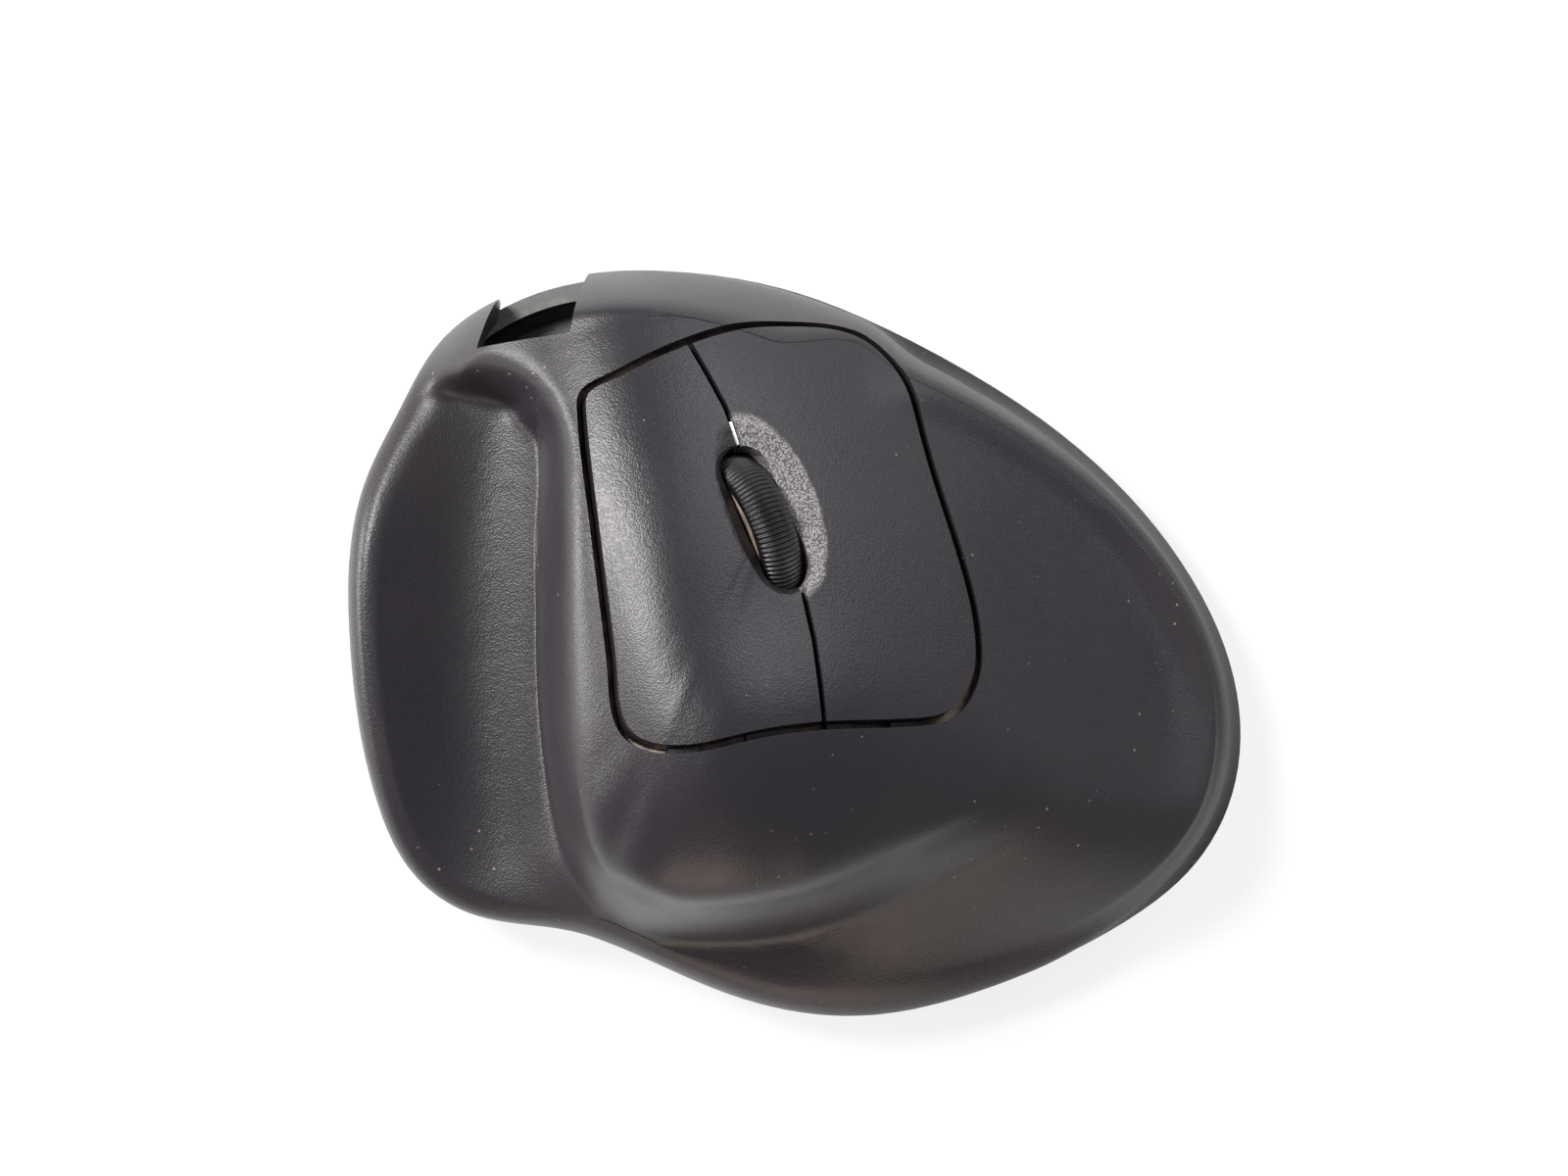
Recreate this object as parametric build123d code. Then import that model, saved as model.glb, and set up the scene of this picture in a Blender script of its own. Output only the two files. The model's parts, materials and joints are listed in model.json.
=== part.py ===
from build123d import *

# Right-handed palm-supporting mouse, as an assembly of its real pieces.
#
# Millimetres. The origin is the centre of the resting face, +X to the finger side, +Y to the front, +Z up.
# The outer skin is one smooth surface: its height is worked out from a palm hump, a thumb and heel floor and
# the lobe line where the two meet, and it is lofted through upright ribs that fan out from the scroll wheel.
import math
import os

import numpy as np

# Skin: heights
PEAK_Z = 56.0  # top of the palm hump
SPLIT_Z = 7.0  # parting line between top shell and lower casing
BASE_Z = 0.8  # underside of the lower casing
THUMB_Z = 17.0  # lowest part of the thumb rest
HEEL_Z = 18.0  # heel flange beside the lobe
WING_Z = 12.5  # trough of the finger rest
THUMB_BOWL = (-47.0, 12.0, 3.2)  # its middle in x, its half width, its rise at the half width
SHELL_WALL = 2.2
BOSS_ROOT = 1.3  # how far under the skin the bosses and posts of the top shell end
SHRINK_AT = (15.0, 0.0)  # plan point that the hollow is drawn in towards
CASING_WALL = 2.0
CASING_INSET = 4.0  # how far the underside stands in from the parting line

# Skin: palm hump, as slopes away from its top
PALM_SPOT = (-12.0, -22.0)
RIDGE_LEAN = 0.2  # how far the ridge runs to the thumb side per mm forward
FINGER_SLOPE = 0.81
FINGER_EASE = 32.0
THUMB_BEND = 0.025
FRONT_SLOPE = 0.08
FRONT_BEND = 0.0025
REAR_BEND = 0.05

HEEL_FALL = (-42.0, 0.3)  # behind this y the heel falls this much per mm
HEEL_TO_THUMB = (-44.0, 14.0)  # y where the floor starts to turn from heel to thumb rest, and over how far
FLOOR_TO_WING = (5.0, 35.0)  # x where the floor starts to turn into the finger rest, and over how far

# Plan of the scroll wheel, which the skin's ribs fan out from
WHEEL_SPOT = (-4.5, 17.8)

# Ribs: the points that each has, from the rim in to the wheel
LIP_FADE = 4.5
FOOT_EASE = 0.4  # fillet along the crease
HUMP_EASE = 1.5  # fillet where the hump leaves the floor
FOOT_ROOM = (2.2, 1.8)  # least room between the lobe's foot and the rim, and the first point beyond the foot
FOOT_STEPS = (1.6, 0.8, 0.2, -0.4, -1.0, -1.8, -2.8, -4.2, -6.2, -9.5)  # points on both sides of the foot
OUTER_SHARES = (1.0, 0.62, 0.28)
INNER_SHARES = (0.62, 0.3)
HUB_R = 4.0  # the ribs stop at this ring, inside the wheel slot
LOBE_STEPS = 300
SEAM = 116.0  # the ribs start and end behind the front split line
STEP = 3.0  # even steps all round, which keep the loft free of waves

# Reach of the cutting columns in panel heights, and across the part
HIGH = 15.0
LOW = -18.0
FAR = 60.0

# Plan outline at its widest, anticlockwise from the right
OUTLINE = [
    (62.6, 0.0), (57.5, 10.2), (44.6, 25.7), (30.6, 36.5), (16.2, 44.7), (0.0, 51.5), (-20.0, 54.8),
    (-42.7, 50.9), (-52.5, 44.1), (-58.5, 33.8), (-63.4, 23.0), (-65.3, 0.0), (-61.7, -22.4),
    (-56.9, -32.8), (-47.3, -39.7), (-34.8, -41.8), (-25.9, -44.7), (-9.2, -52.0), (9.6, -54.8),
    (29.0, -50.3), (48.7, -40.8), (57.8, -33.4), (63.7, -23.1), (65.1, -11.5),
]

# Plan of the lobe line: front wall of the thumb recess, its corner, the crease, and the rear of the palm
LOBE = [
    (-64.0, 33.0), (-58.7, 35.2), (-54.8, 36.2), (-48.4, 36.5), (-41.5, 35.0), (-37.4, 30.3), (-36.6, 23.6),
    (-37.0, 5.0), (-36.8, -8.0), (-35.2, -22.7), (-31.8, -34.0), (-25.3, -40.8), (-16.5, -42.6),
    (-7.8, -42.6), (2.1, -40.9), (20.5, -33.1), (34.7, -24.3), (48.0, -13.0), (70.0, 10.0),
]

# Buttons: plan outline of the pair, the line that splits them and the wheel slot
PANEL = [
    (-29.6, 33.6), (-29.4, 31.0), (-28.0, 20.0), (-26.3, 8.0), (-24.6, -6.0), (-23.2, -11.0), (-19.5, -12.9),
    (-8.0, -11.8), (4.0, -10.2), (16.0, -9.9), (21.5, -8.6), (24.6, -3.0), (24.6, 2.5), (21.9, 14.0),
    (17.8, 27.4), (14.2, 38.0), (10.3, 42.8), (4.0, 45.3), (-5.0, 45.1), (-16.0, 41.8), (-26.5, 36.6),
]
SPLIT_FRONT = [(-18.5, 47.5), (-12.8, 37.8), (-10.3, 33.2), (-8.0, 27.0)]
SPLIT_REAR = [(-0.8, 12.0), (0.5, 8.0), (1.9, 1.3), (3.8, -15.0)]
SLOT_AT = (-4.5, 18.0)
SLOT_LENGTH = 21.5
SLOT_WIDTH = 7.2
SLOT_LEAN = 20.0  # degrees the wheel's plane turns to the thumb side of straight ahead
PANEL_GAP = 1.15  # all round the pair of buttons
PAIR_ARCS = 7  # splines that an offset of the pair's outline is drawn with
ARC_STEPS = 6
SPLIT_GAP = 0.85
BUTTON_WALL = 2.0
BUTTON_RIM = (1.4, 3.0)  # width and depth of the rim under each button's edge
PANEL_SLOPE = (0.306, 0.276)  # mean fall of the panel to the right and to the front
DISH_HALF = (14.0, 5.5)  # half length and half width of the hollow beside the wheel
DISH_AT = (1.5, -1.0)
DISH_LIFT = 11.6  # its axis over the panel: the higher, the shallower
BEVEL_DEPTH = 0.7
BEVEL_TAPER = 55.0

# Window for the charging lead, cut out of the shell's front-left edge (plan)
WINDOW = [(-43.9, 49.8), (-45.8, 42.1), (-32.0, 43.7), (-30.8, 51.8), (-29.9, 60.0), (-44.5, 60.0)]

# Button plate: the curved frame under the buttons
PLATE_DEPTH = 4.0
PLATE_WALL = 1.6
PLATE_MARGIN = 2.5
PLATE_REAR = (-25.0, 25.0, -44.0, -22.0)  # its rear part in panel coordinates
PLATE_CLEAR = 0.5
CROWN_MARGIN = 10.0  # the skin over the plate, which its layers are cut from
PLATE_BOSSES = [(-18.0, -23.5), (14.0, -22.5), (30.5, 3.0), (22.0, 33.0)]
PLATE_BOSS_R = 2.4
PLATE_PAD = 1.0
PLATE_ARM = (0.6, 0.8)  # an arm to each boss: its inner end as a share of the way, its margin beside the boss
PLATE_BLEND = 0.4  # how far what hangs from the plate goes into it
SEAT_GAP = 0.05
DIVIDER = (0.35, 1.5)  # thickness, and depth of its top under the skin
DIVIDER_GAP = (0.3, 0.5)  # before the light guide, and inside the pair's outline

# Screws: thread radius, head radius and head height
PLATE_SCREW = (1.0, 1.9, 1.2)
CASE_SCREW = (1.3, 2.4, 1.5)
SCREW_CLEAR = 0.05
PLATE_BITE = 2.4  # how far a plate screw goes into the shell's boss
SCREW_SHORT = 0.3  # free thread hole beyond a plate screw
SCREW_SLOT = (1.3, 0.5, 0.8)  # arms of the cross: length as a share of the head's radius, width, depth
HEAD_SINK = (0.15, 0.2)  # room beside and over a case screw's head
BOARD_BITE = 4.0
STANDOFF_HOLE = 5.0
MAIN_BITE = 2.4
PORT_BITE = 4.0

# Button hinges: legs that pass down through the plate and turn on pins held in its ears
HINGE_LEGS = {"left": (-15.0, -4.5), "right": (6.5, 15.5)}
HINGE_Y = {"left": -17.5, "right": -15.5}
HINGE_DEPTH = 7.6
HINGE_ARM = 7.4  # from the hinge line forward into the button's rim
LEG_EYE_R = 1.6
LEG = (4.0, 1.8)
PIN_R = 0.8
PIN_CLEAR = 0.06
PIN_SHORT = 0.6  # each end stops this far inside its ear
EAR = (1.5, 4.4)
LEG_GAP = 0.35
ARM_WALL = 1.2
ARM_DEPTH = 2.55
ARM_ROOM = (0.4, 0.3)  # free beside and above the arms

# Switch board and switches, square to the panel
BOARD_DROP = 16.5
BOARD_WALL = 1.2
BOARD = (-21.0, 22.5, -21.5, 17.5)
STANDOFFS = [(-17.2, -18.6), (17.4, -18.6), (-17.2, 14.4), (17.4, 14.4)]
STANDOFF_R = 2.1
SWITCH_AT = {"left": (-19.5, 15.0), "right": (11.0, 12.0)}
SWITCH = (12.8, 5.8, 6.5)
PLUNGER = (1.6, 2.8, 2.4)
PLUNGER_STANDS = 0.8
PLUNGER_CLEAR = 0.1
PLUNGER_ROOM = 0.6
POST_R = 1.4
POST_GAP = 0.05
POST_HOLE = 0.5

# Scroll wheel and its carrier
WHEEL_R = 12.0
WHEEL_WIDTH = 6.0
WHEEL_STANDS = 2.4
TYRE_WALL = 2.4
CROWN = 1.3
HUB_RIM = 1.4
HUB_WEB = 1.6
HUB_BOSS = 3.0
HUB_HOLES = (6, 1.4)
AXLE_R = 1.25
AXLE_ENDS = (1.3, 0.6)  # it stops this far inside the encoder, and stands out of the other cheek
ENCODER_END = 1.0  # wall that closes the encoder's bore
RUNNING = 0.05
CHEEK = (4.2, 1.4)  # inner face from the wheel's middle, thickness
CARRIER_SINK = 1.2
CARRIER_TALL = 3.0
CARRIER_REACH = (-15.9, 16.1)
CARRIER_BAR = 3.2
EAR_HALF = 3.0
GUIDE_PIN_R = 0.9
GUIDE_PINS = [(-14.3, 0.0), (14.4, 6.6), (14.4, -6.6)]
LUG = (1.7, 8.4)
PIN_END = 1.2
ENCODER = (7.0, 4.5, 2.6, 3.8)
TAB = (2.4, 10.6, 1.8)
TACT = (4.6, 4.6, 2.0)
TACT_AT = (0.0, 8.2)
TACT_PLUNGER_R = 1.0
TACT_PLUNGER_TALL = 1.9
WHEEL_ROOM = (25.0, 8.0)
BOARD_SLOT = (21.6, 7.6)

# Light guide in front of the wheel, and its lamp on the board
GUIDE_AT = (12.7, -0.91, -5.4)  # its middle in the wheel's coordinates, and its turn along the split
GUIDE_BAR = (-1.7, 1.7)
GUIDE_STEM = (0.6, 1.7)
GUIDE_WALL = 0.45
GUIDE_TOP = 0.35
GUIDE_GAP = 0.12
GUIDE_SEAT = 0.15  # under the bar, over the plate
GUIDE_FOOT = 0.3  # between the stem and the lamp
LAMP = (2.0, 1.25, 0.9)

# Lower casing
CASING_TOP = 6.8
CASING_RINGS = [(0.9, CASING_TOP), (1.7, 3.2), (CASING_INSET, BASE_Z)]
FLOOR_TOP = 2.8
POST_FOOT = 0.5  # posts start this far up in the floor
TIP_ROOM = 0.8  # floor left under a board's screw
CASING_BEND = (0.8, 0.5)  # the wall's inside is higher at the bend, and thinner at the floor
TONGUE = (2.55, 1.0, 8.4)  # its outer face under the outline, thickness, top
TONGUE_LEAN = 1.3  # how much more than the wall it leans in
TONGUE_ROOT = 1.2

# Main board and what is on it
MAIN_TOP = 6.2
MAIN_WALL = 1.6
MAIN = (-28.0, 12.0, -20.0, 37.0)
MAIN_POSTS = [(-25.0, -17.0), (9.0, -17.0), (9.0, 34.0), (-25.0, 34.0)]
MAIN_POST_R = 2.3
SENSOR_AT = (-5.0, 10.0)
SENSOR = (10.4, 11.4, 2.2)
SENSOR_EYE_R = 2.0
EYE_HOLE = 0.3
LENS = (15.0, 10.0, 0.9)
LENS_R = 3.0
LENS_GAP = 0.3
LENS_WELL = (4.0, 0.3)  # the shallow well round the lens: wider than its flange by this, and its depth
LENS_TIP = (0.4, 0.1)  # the lens's tip: thinner than the sensor's eye by this, and its gap to the board
SENSOR_LED = (3.0, 2.0, 1.4)
LED_GAP = 0.4

# Charging socket on its own small board
PORT_BOARD = (-43.0, -30.0, 31.0, 43.2)
PORT_TOP = 8.2
PORT_WALL = 1.2
PORT_POSTS = [(-41.0, 33.0), (-32.0, 33.0)]
SOCKET = (8.9, 7.4, 3.2)
SOCKET_X = -36.3
SOCKET_MOUTH = 43.9
SOCKET_WALL = 0.35
SOCKET_BACK = 1.0
ALMOST_ROUND = 0.05  # a round end keeps this much straight side
SOCKET_TONGUE = (6.6, 4.6, 0.7)

# Power slider
SLIDER_AT = (4.0, -10.0)
SLIDER_TRAVEL = 3.0
SLIDER = (8.0, 4.6, 0.8)
SLIDER_STEM = 2.2
SLIDER_GAP = 0.15
SLIDER_RECESS = 1.0
POWER_SWITCH = (8.6, 4.6, 1.5)
STEM_TOP = 3.9
STEM_ROOM = 0.15
GRIPS = (5, 1.0, 0.2, 0.6, 0.25)  # grooves: how many, spacing, half width, distance from the sides, depth

# Battery
BATTERY = (34.0, 20.0, 5.6)
BATTERY_AT = (8.0, -32.5)
PAD_WALL = 0.5
PAD_INSET = 1.0
BATTERY_ROUND = 2.4

# Casing screws and feet
CASE_POSTS = [(-50.0, 17.0), (-47.0, -26.0), (46.0, 7.0), (33.0, -37.0)]
CASE_POST_R = 3.3
CASE_TIP = 11.0
FEET = [(-20.0, 43.5, 30.0, 7.0, 0.0), (8.0, -45.2, 26.0, 6.0, 0.0), (-54.5, -5.0, 18.0, 7.0, 86.0),
        (54.5, -9.0, 18.0, 7.0, 96.0)]
FOOT_SEAT = 0.4
FOOT_GAP = 0.1
FOOT_CHAMFER = 0.25

# Cable between the two boards
CABLE_R = 0.9
CABLE_FROM = (-9.0, -17.5)
CABLE_RUN = 11.0
CABLE_BEND = 18.0
CABLE_PLUG = (5.0, 3.6, 3.0)


def direction(point):
    """Degrees round the wheel, anticlockwise from the right."""
    return math.degrees(math.atan2(point[1] - WHEEL_SPOT[1], point[0] - WHEEL_SPOT[0])) % 360


def reach(point):
    return math.hypot(point[0] - WHEEL_SPOT[0], point[1] - WHEEL_SPOT[1])


class Around:
    """A smooth closed curve through (direction, value) pairs."""

    def __init__(self, pairs):
        pairs = sorted(pairs)
        self.at = np.array([a for a, _ in pairs])
        self.value = np.array([v for _, v in pairs])
        self.gap = np.diff(np.append(self.at, self.at[0] + 360))
        n = len(pairs)
        rows, sides = np.zeros((n, n)), np.zeros(n)
        for i in range(n):
            before, after, nxt = self.gap[i - 1], self.gap[i], (i + 1) % n
            rows[i, i - 1] += before
            rows[i, i] += 2 * (before + after)
            rows[i, nxt] += after
            rise, fall = self.value[nxt] - self.value[i], self.value[i] - self.value[i - 1]
            sides[i] = 6 * (rise / after - fall / before)
        self.bend = np.linalg.solve(rows, sides)

    def __call__(self, deg):
        deg = (deg - self.at[0]) % 360 + self.at[0]
        i = int(np.searchsorted(self.at, deg, side="right") - 1)
        j, gap = (i + 1) % len(self.at), self.gap[i]
        b = (deg - self.at[i]) / gap
        a = 1 - b
        bow = ((a**3 - a) * self.bend[i] + (b**3 - b) * self.bend[j]) * gap * gap / 6
        return float(a * self.value[i] + b * self.value[j] + bow)


def smooth(t):
    t = min(max(t, 0.0), 1.0)
    return t * t * (3 - 2 * t)


def eased(pairs):
    """A value that rests at each (direction, value) pair and eases between them."""
    pairs = sorted(pairs)

    def value(deg):
        deg = (deg - pairs[0][0]) % 360 + pairs[0][0]
        for i, (start, low) in enumerate(pairs):
            end, high = pairs[(i + 1) % len(pairs)]
            end += 360 if i + 1 == len(pairs) else 0
            if deg <= end:
                return low + (high - low) * smooth((deg - start) / (end - start))

    return value


def rounded(value, ease):
    """value where positive and nothing where negative, with a soft corner."""
    return ease * math.log1p(math.exp(value / ease)) if value < 30 * ease else value


# How the section changes with direction: 0 finger side, 90 front, 180 thumb, 270 rear
outline_reach = Around([(direction(p), reach(p)) for p in OUTLINE])
foot_reach = Around([
    (0, 48), (25, 43), (45, 39), (70, 33), (95, 29), (120, 29), (143, 33), (157, 34.5), (170, 32.6),
    (185, 32.9), (201.5, 35), (215, 39.7), (232.8, 50.8), (242.4, 59), (250.5, 62.4), (258.7, 61.6),
    (266, 60.5), (276.4, 59), (296.2, 56.7), (313, 57.6), (335, 54),
])
crease_depth = eased([(100, 1), (150, 1), (272, 1), (322, 0)])
shoulder_width = eased([(120, 7), (165, 7), (225, 8), (250, 12), (275, 18), (300, 30), (330, 40)])
rim_z = eased([(0, 11), (50, 10.5), (90, 9), (150, 11), (190, 14), (225, 12.5), (270, 8.5), (320, 9.5)])
rim_roll = eased([
    (0, 3), (60, 4), (90, 9), (130, 9), (168, 7), (200, 6), (232, 5), (244, 3.4), (254, 3.2), (268, 4.5),
    (285, 6), (320, 4),
])
roll_power = eased([(0, 2), (55, 1.9), (90, 1.5), (130, 1.5), (170, 2)])
wall_flare = eased([(0, 2.3), (45, 2.3), (66, 0.5), (120, 0.2), (200, -2.0), (300, 0), (325, 2.0)])
lip_rise = eased([(35, 1.6), (60, 0), (180, 0), (295, 0), (330, 1.6)])
STATIONS = np.arange(SEAM, SEAM + 360.0, STEP)

lobe_line = Spline(*LOBE)
lobe_at = np.array([tuple(lobe_line @ (i / LOBE_STEPS))[:2] for i in range(LOBE_STEPS + 1)])


def inside_lobe(x, y):
    """Plan distance from the lobe line, positive on the palm's side."""
    start, run = lobe_at[:-1], lobe_at[1:] - lobe_at[:-1]
    share = np.clip(((np.array([x, y]) - start) * run).sum(1) / (run**2).sum(1), 0, 1)
    off = np.array([x, y]) - start - share[:, None] * run
    away = np.hypot(off[:, 0], off[:, 1])
    i = int(np.argmin(away))
    return float(math.copysign(away[i], run[i, 0] * off[i, 1] - run[i, 1] * off[i, 0]))


def hump_z(x, y):
    along = y - PALM_SPOT[1]
    across = x - PALM_SPOT[0] + RIDGE_LEAN * along
    if across > 0:
        side = FINGER_SLOPE * across**2 / (across + FINGER_EASE)
    else:
        side = THUMB_BEND * across**2
    fall = FRONT_SLOPE * along + FRONT_BEND * along**2 if along > 0 else REAR_BEND * along**2
    return PEAK_Z - side - fall


def floor_z(x, y):
    middle, half, rise = THUMB_BOWL
    thumb = THUMB_Z + rise * min(((x - middle) / half) ** 2, 2.0)
    fall_from, fall = HEEL_FALL
    heel = HEEL_Z - fall * max(0.0, fall_from - y)
    left = heel + (thumb - heel) * smooth((y - HEEL_TO_THUMB[0]) / HEEL_TO_THUMB[1])
    return left + (WING_Z - left) * smooth((x - FLOOR_TO_WING[0]) / FLOOR_TO_WING[1])


def skin_z(x, y, deg):
    low, high = floor_z(x, y), hump_z(x, y)
    inside = rounded(inside_lobe(x, y), FOOT_EASE)
    wall = 1 - (1 - min(inside / shoulder_width(deg), 1)) ** 3
    return low + rounded(high - low, HUMP_EASE) * (1 - crease_depth(deg) * (1 - wall))


def place(deg, r, z):
    a = math.radians(deg)
    return Vector(WHEEL_SPOT[0] + r * math.cos(a), WHEEL_SPOT[1] + r * math.sin(a), z)


def skin_rib(deg):
    """Points of one upright rib, from the parting line up and in to the wheel."""
    flare, roll, power, rim = wall_flare(deg), rim_roll(deg), roll_power(deg), rim_z(deg)
    out = outline_reach(deg)
    lip = out - max(flare, 0)
    inner = lip - roll
    foot = min(foot_reach(deg), inner - FOOT_ROOM[0])

    def height(r):
        p = place(deg, r, 0)
        rise = lip_rise(deg) * math.exp(-(((inner - r) / LIP_FADE) ** 2))
        return skin_z(p.X, p.Y, deg) + rise

    rib = [place(deg, out + min(flare, 0), SPLIT_Z)]
    for turn in range(0, 90, 15):
        c, s = math.cos(math.radians(turn)), math.sin(math.radians(turn))
        r = lip - roll * (1 - c ** (2 / power))
        rib.append(place(deg, r, rim + (height(r) - rim) * s ** (2 / power)))
    edge = foot + FOOT_ROOM[1]
    radii = [edge + share * (inner - edge) for share in OUTER_SHARES]
    radii += [foot + step for step in FOOT_STEPS]
    last = radii[-1]
    radii += [HUB_R + share * (last - HUB_R) for share in INNER_SHARES]
    rib += [place(deg, r, height(r)) for r in radii]
    x, y = WHEEL_SPOT
    across = (hump_z(x + HUB_R, y) - hump_z(x - HUB_R, y)) / 2
    along = (hump_z(x, y + HUB_R) - hump_z(x, y - HUB_R)) / 2
    level = (hump_z(x + HUB_R, y) + hump_z(x - HUB_R, y)) / 2
    a = math.radians(deg)
    rib.append(place(deg, HUB_R, level + across * math.cos(a) + along * math.sin(a)))
    return rib


def ribbed_solid(ribs):
    """A closed solid whose side is lofted round through the ribs, with flat ends."""
    rows = len(ribs[0])
    step = [0.0]
    for k in range(1, rows):
        step.append(step[-1] + sum((rib[k] - rib[k - 1]).length ** 0.5 for rib in ribs) / len(ribs))
    share = [s / step[-1] for s in step]
    wires = [Wire([Edge.make_spline(rib, parameters=share)]) for rib in ribs]
    side = Shell.make_loft(wires + [wires[0]]).faces()[0]
    ends = [Face(Wire([e])) for e in side.edges() if e.is_closed]
    return Solid(Shell([side] + ends))


def lowest_near(x, y, distance):
    """The lowest skin at this distance round a plan point."""
    turns = np.arange(0.0, 2 * math.pi, math.pi / 4)
    near = [(x + distance * math.cos(t), y + distance * math.sin(t)) for t in turns]
    return min(skin_z(*p, direction(p)) for p in near)


def shrunk(ribs, depth):
    """The skin's ribs, drawn in towards SHRINK_AT in plan and lowered, to leave a wall of this depth."""
    wide = max(p.X for rib in ribs for p in rib) - min(p.X for rib in ribs for p in rib)
    long = max(p.Y for rib in ribs for p in rib) - min(p.Y for rib in ribs for p in rib)
    x0, y0 = SHRINK_AT
    sx, sy = 1 - 2 * depth / wide, 1 - 2 * depth / long
    drawn = []
    for rib in ribs:
        plan = [(x0 + (p.X - x0) * sx, y0 + (p.Y - y0) * sy) for p in rib]
        drawn.append([Vector(*at, min(p.Z - depth, lowest_near(*at, depth))) for p, at in zip(rib, plan)])
    return drawn


def layer(depth):
    """The crown moved down square to the panel."""
    return crown.moved(Location(panel.z_dir * -depth))


def on_panel(x, y):
    """Panel coordinates of the skin above a plan point."""
    p = panel.to_local_coords(Vector(x, y, hump_z(x, y)))
    return (p.X, p.Y)


def skin_height(x, y):
    """How far the skin stands over the panel plane at a plan point."""
    return panel.to_local_coords(Vector(x, y, hump_z(x, y))).Z


def column(sketch, low, high):
    """A sketch in panel coordinates, extruded square to the panel between two heights."""
    return extrude(panel.offset(low) * sketch, high - low)


def by_wheel(sketch, low, high):
    """A sketch in the wheel's coordinates, extruded square to the panel between two heights."""
    return column(slot_place * sketch, low, high)


def across_wheel(x, z, radius, low, high):
    """A cylinder beside the wheel, along its axle, from y = low to y = high."""
    start = wheel_frame.from_local_coords(Vector(x, low, z))
    return Plane(start, x_dir=wheel_frame.x_dir, z_dir=wheel_frame.y_dir) * Cylinder(
        radius, high - low, align=(Align.CENTER, Align.CENTER, Align.MIN)
    )


def span(x0, x1, y0, y1):
    return Pos((x0 + x1) / 2, (y0 + y1) / 2) * Rectangle(x1 - x0, y1 - y0)


def block(x0, x1, y0, y1, z0, z1):
    return Pos(0, 0, z0) * extrude(span(x0, x1, y0, y1), z1 - z0)


def rod(x, y, radius, low, high):
    return Pos(x, y, low) * Cylinder(radius, high - low, align=(Align.CENTER, Align.CENTER, Align.MIN))


def ring(inset, z):
    """The parting line's plan curve, moved in and set at a height."""
    turns = np.arange(SEAM, SEAM + 360.0, 6.0)
    line = [place(a, outline_reach(a) + min(wall_flare(a), 0), z) for a in turns]
    points = []
    for i, p in enumerate(line):
        run = (line[(i + 1) % len(line)] - line[i - 1]).normalized()
        depth = inset(turns[i]) if callable(inset) else inset
        points.append(p + Vector(-run.Y, run.X, 0) * depth)
    return Wire([Edge.make_spline(points, periodic=True)])


def stepped(rings):
    """A solid through rings, each step ruled."""
    return Solid.make_loft([ring(inset, z) for inset, z in rings], ruled=True)


# The skin and the hollow under it
ribs = [skin_rib(a) for a in STATIONS]
skin = ribbed_solid(ribs)
hollow = ribbed_solid(shrunk(ribs, SHELL_WALL))

slope_x, slope_y = PANEL_SLOPE
panel = Plane(
    origin=(*WHEEL_SPOT, hump_z(*WHEEL_SPOT)), x_dir=(1, 0, -slope_x), z_dir=(slope_x, slope_y, 1)
)
plate_bosses = [
    panel.to_local_coords(max((p for p, _ in skin.find_intersection_points(Axis((x, y, 0), (0, 0, 1)))),
                              key=lambda p: p.Z))
    for x, y in PLATE_BOSSES
]  # where each boss's line meets the skin, in panel coordinates

# Outlines in panel coordinates
pair_line = Spline(*[on_panel(*p) for p in PANEL], periodic=True)
slot_place = Pos(*on_panel(*SLOT_AT)) * Rot(0, 0, 90 + SLOT_LEAN)
wheel_frame = Plane(panel.location * slot_place)
split_line = Polyline(*[on_panel(*p) for p in SPLIT_FRONT + SPLIT_REAR])


def around_pair(distance):
    """The outline of the pair of buttons, moved out by a distance, as a few joined splines."""
    count = PAIR_ARCS * ARC_STEPS
    at, along = [], []
    for i in range(count + 1):
        p, run = pair_line @ (i / count % 1), pair_line % (i / count % 1)
        at.append(p + Vector(run.Y, -run.X, 0) * distance)
        along.append(run)
    edges = []
    for start in range(0, count, ARC_STEPS):
        end = start + ARC_STEPS
        edges.append(Spline(*at[start:end + 1], tangents=[along[start], along[end]]))
    return make_face(edges)


def slot_face(margin):
    return slot_place * SlotOverall(SLOT_LENGTH + 2 * margin, SLOT_WIDTH + 2 * margin)


def halves(margin):
    """Both buttons' outlines, drawn in by a margin on every side: left, right."""
    whole = around_pair(-margin) - trace(split_line, SPLIT_GAP + 2 * margin) - slot_face(margin)
    faces = sorted(whole.faces(), key=lambda f: f.center().X)
    return {"left": faces[0], "right": faces[-1]}


crown = skin & column(around_pair(CROWN_MARGIN) + span(*PLATE_REAR), LOW, HIGH)
WHEEL_W = WHEEL_STANDS - WHEEL_R  # the axle's height over the panel
BOARD_W = -BOARD_DROP


def arm_strips(side, margin=0.0):
    """Plan of the arms from a button's hinge legs forward under its rear edge."""
    v, _ = hinge_line(side)
    half, back, front = LEG[0] / 2 + margin, v - LEG[1] / 2 - margin, v + HINGE_ARM
    strips = Sketch()
    for u, _ in leg_spots(side):
        strips += span(u - half, u + half, back, front)
    return strips


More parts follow.
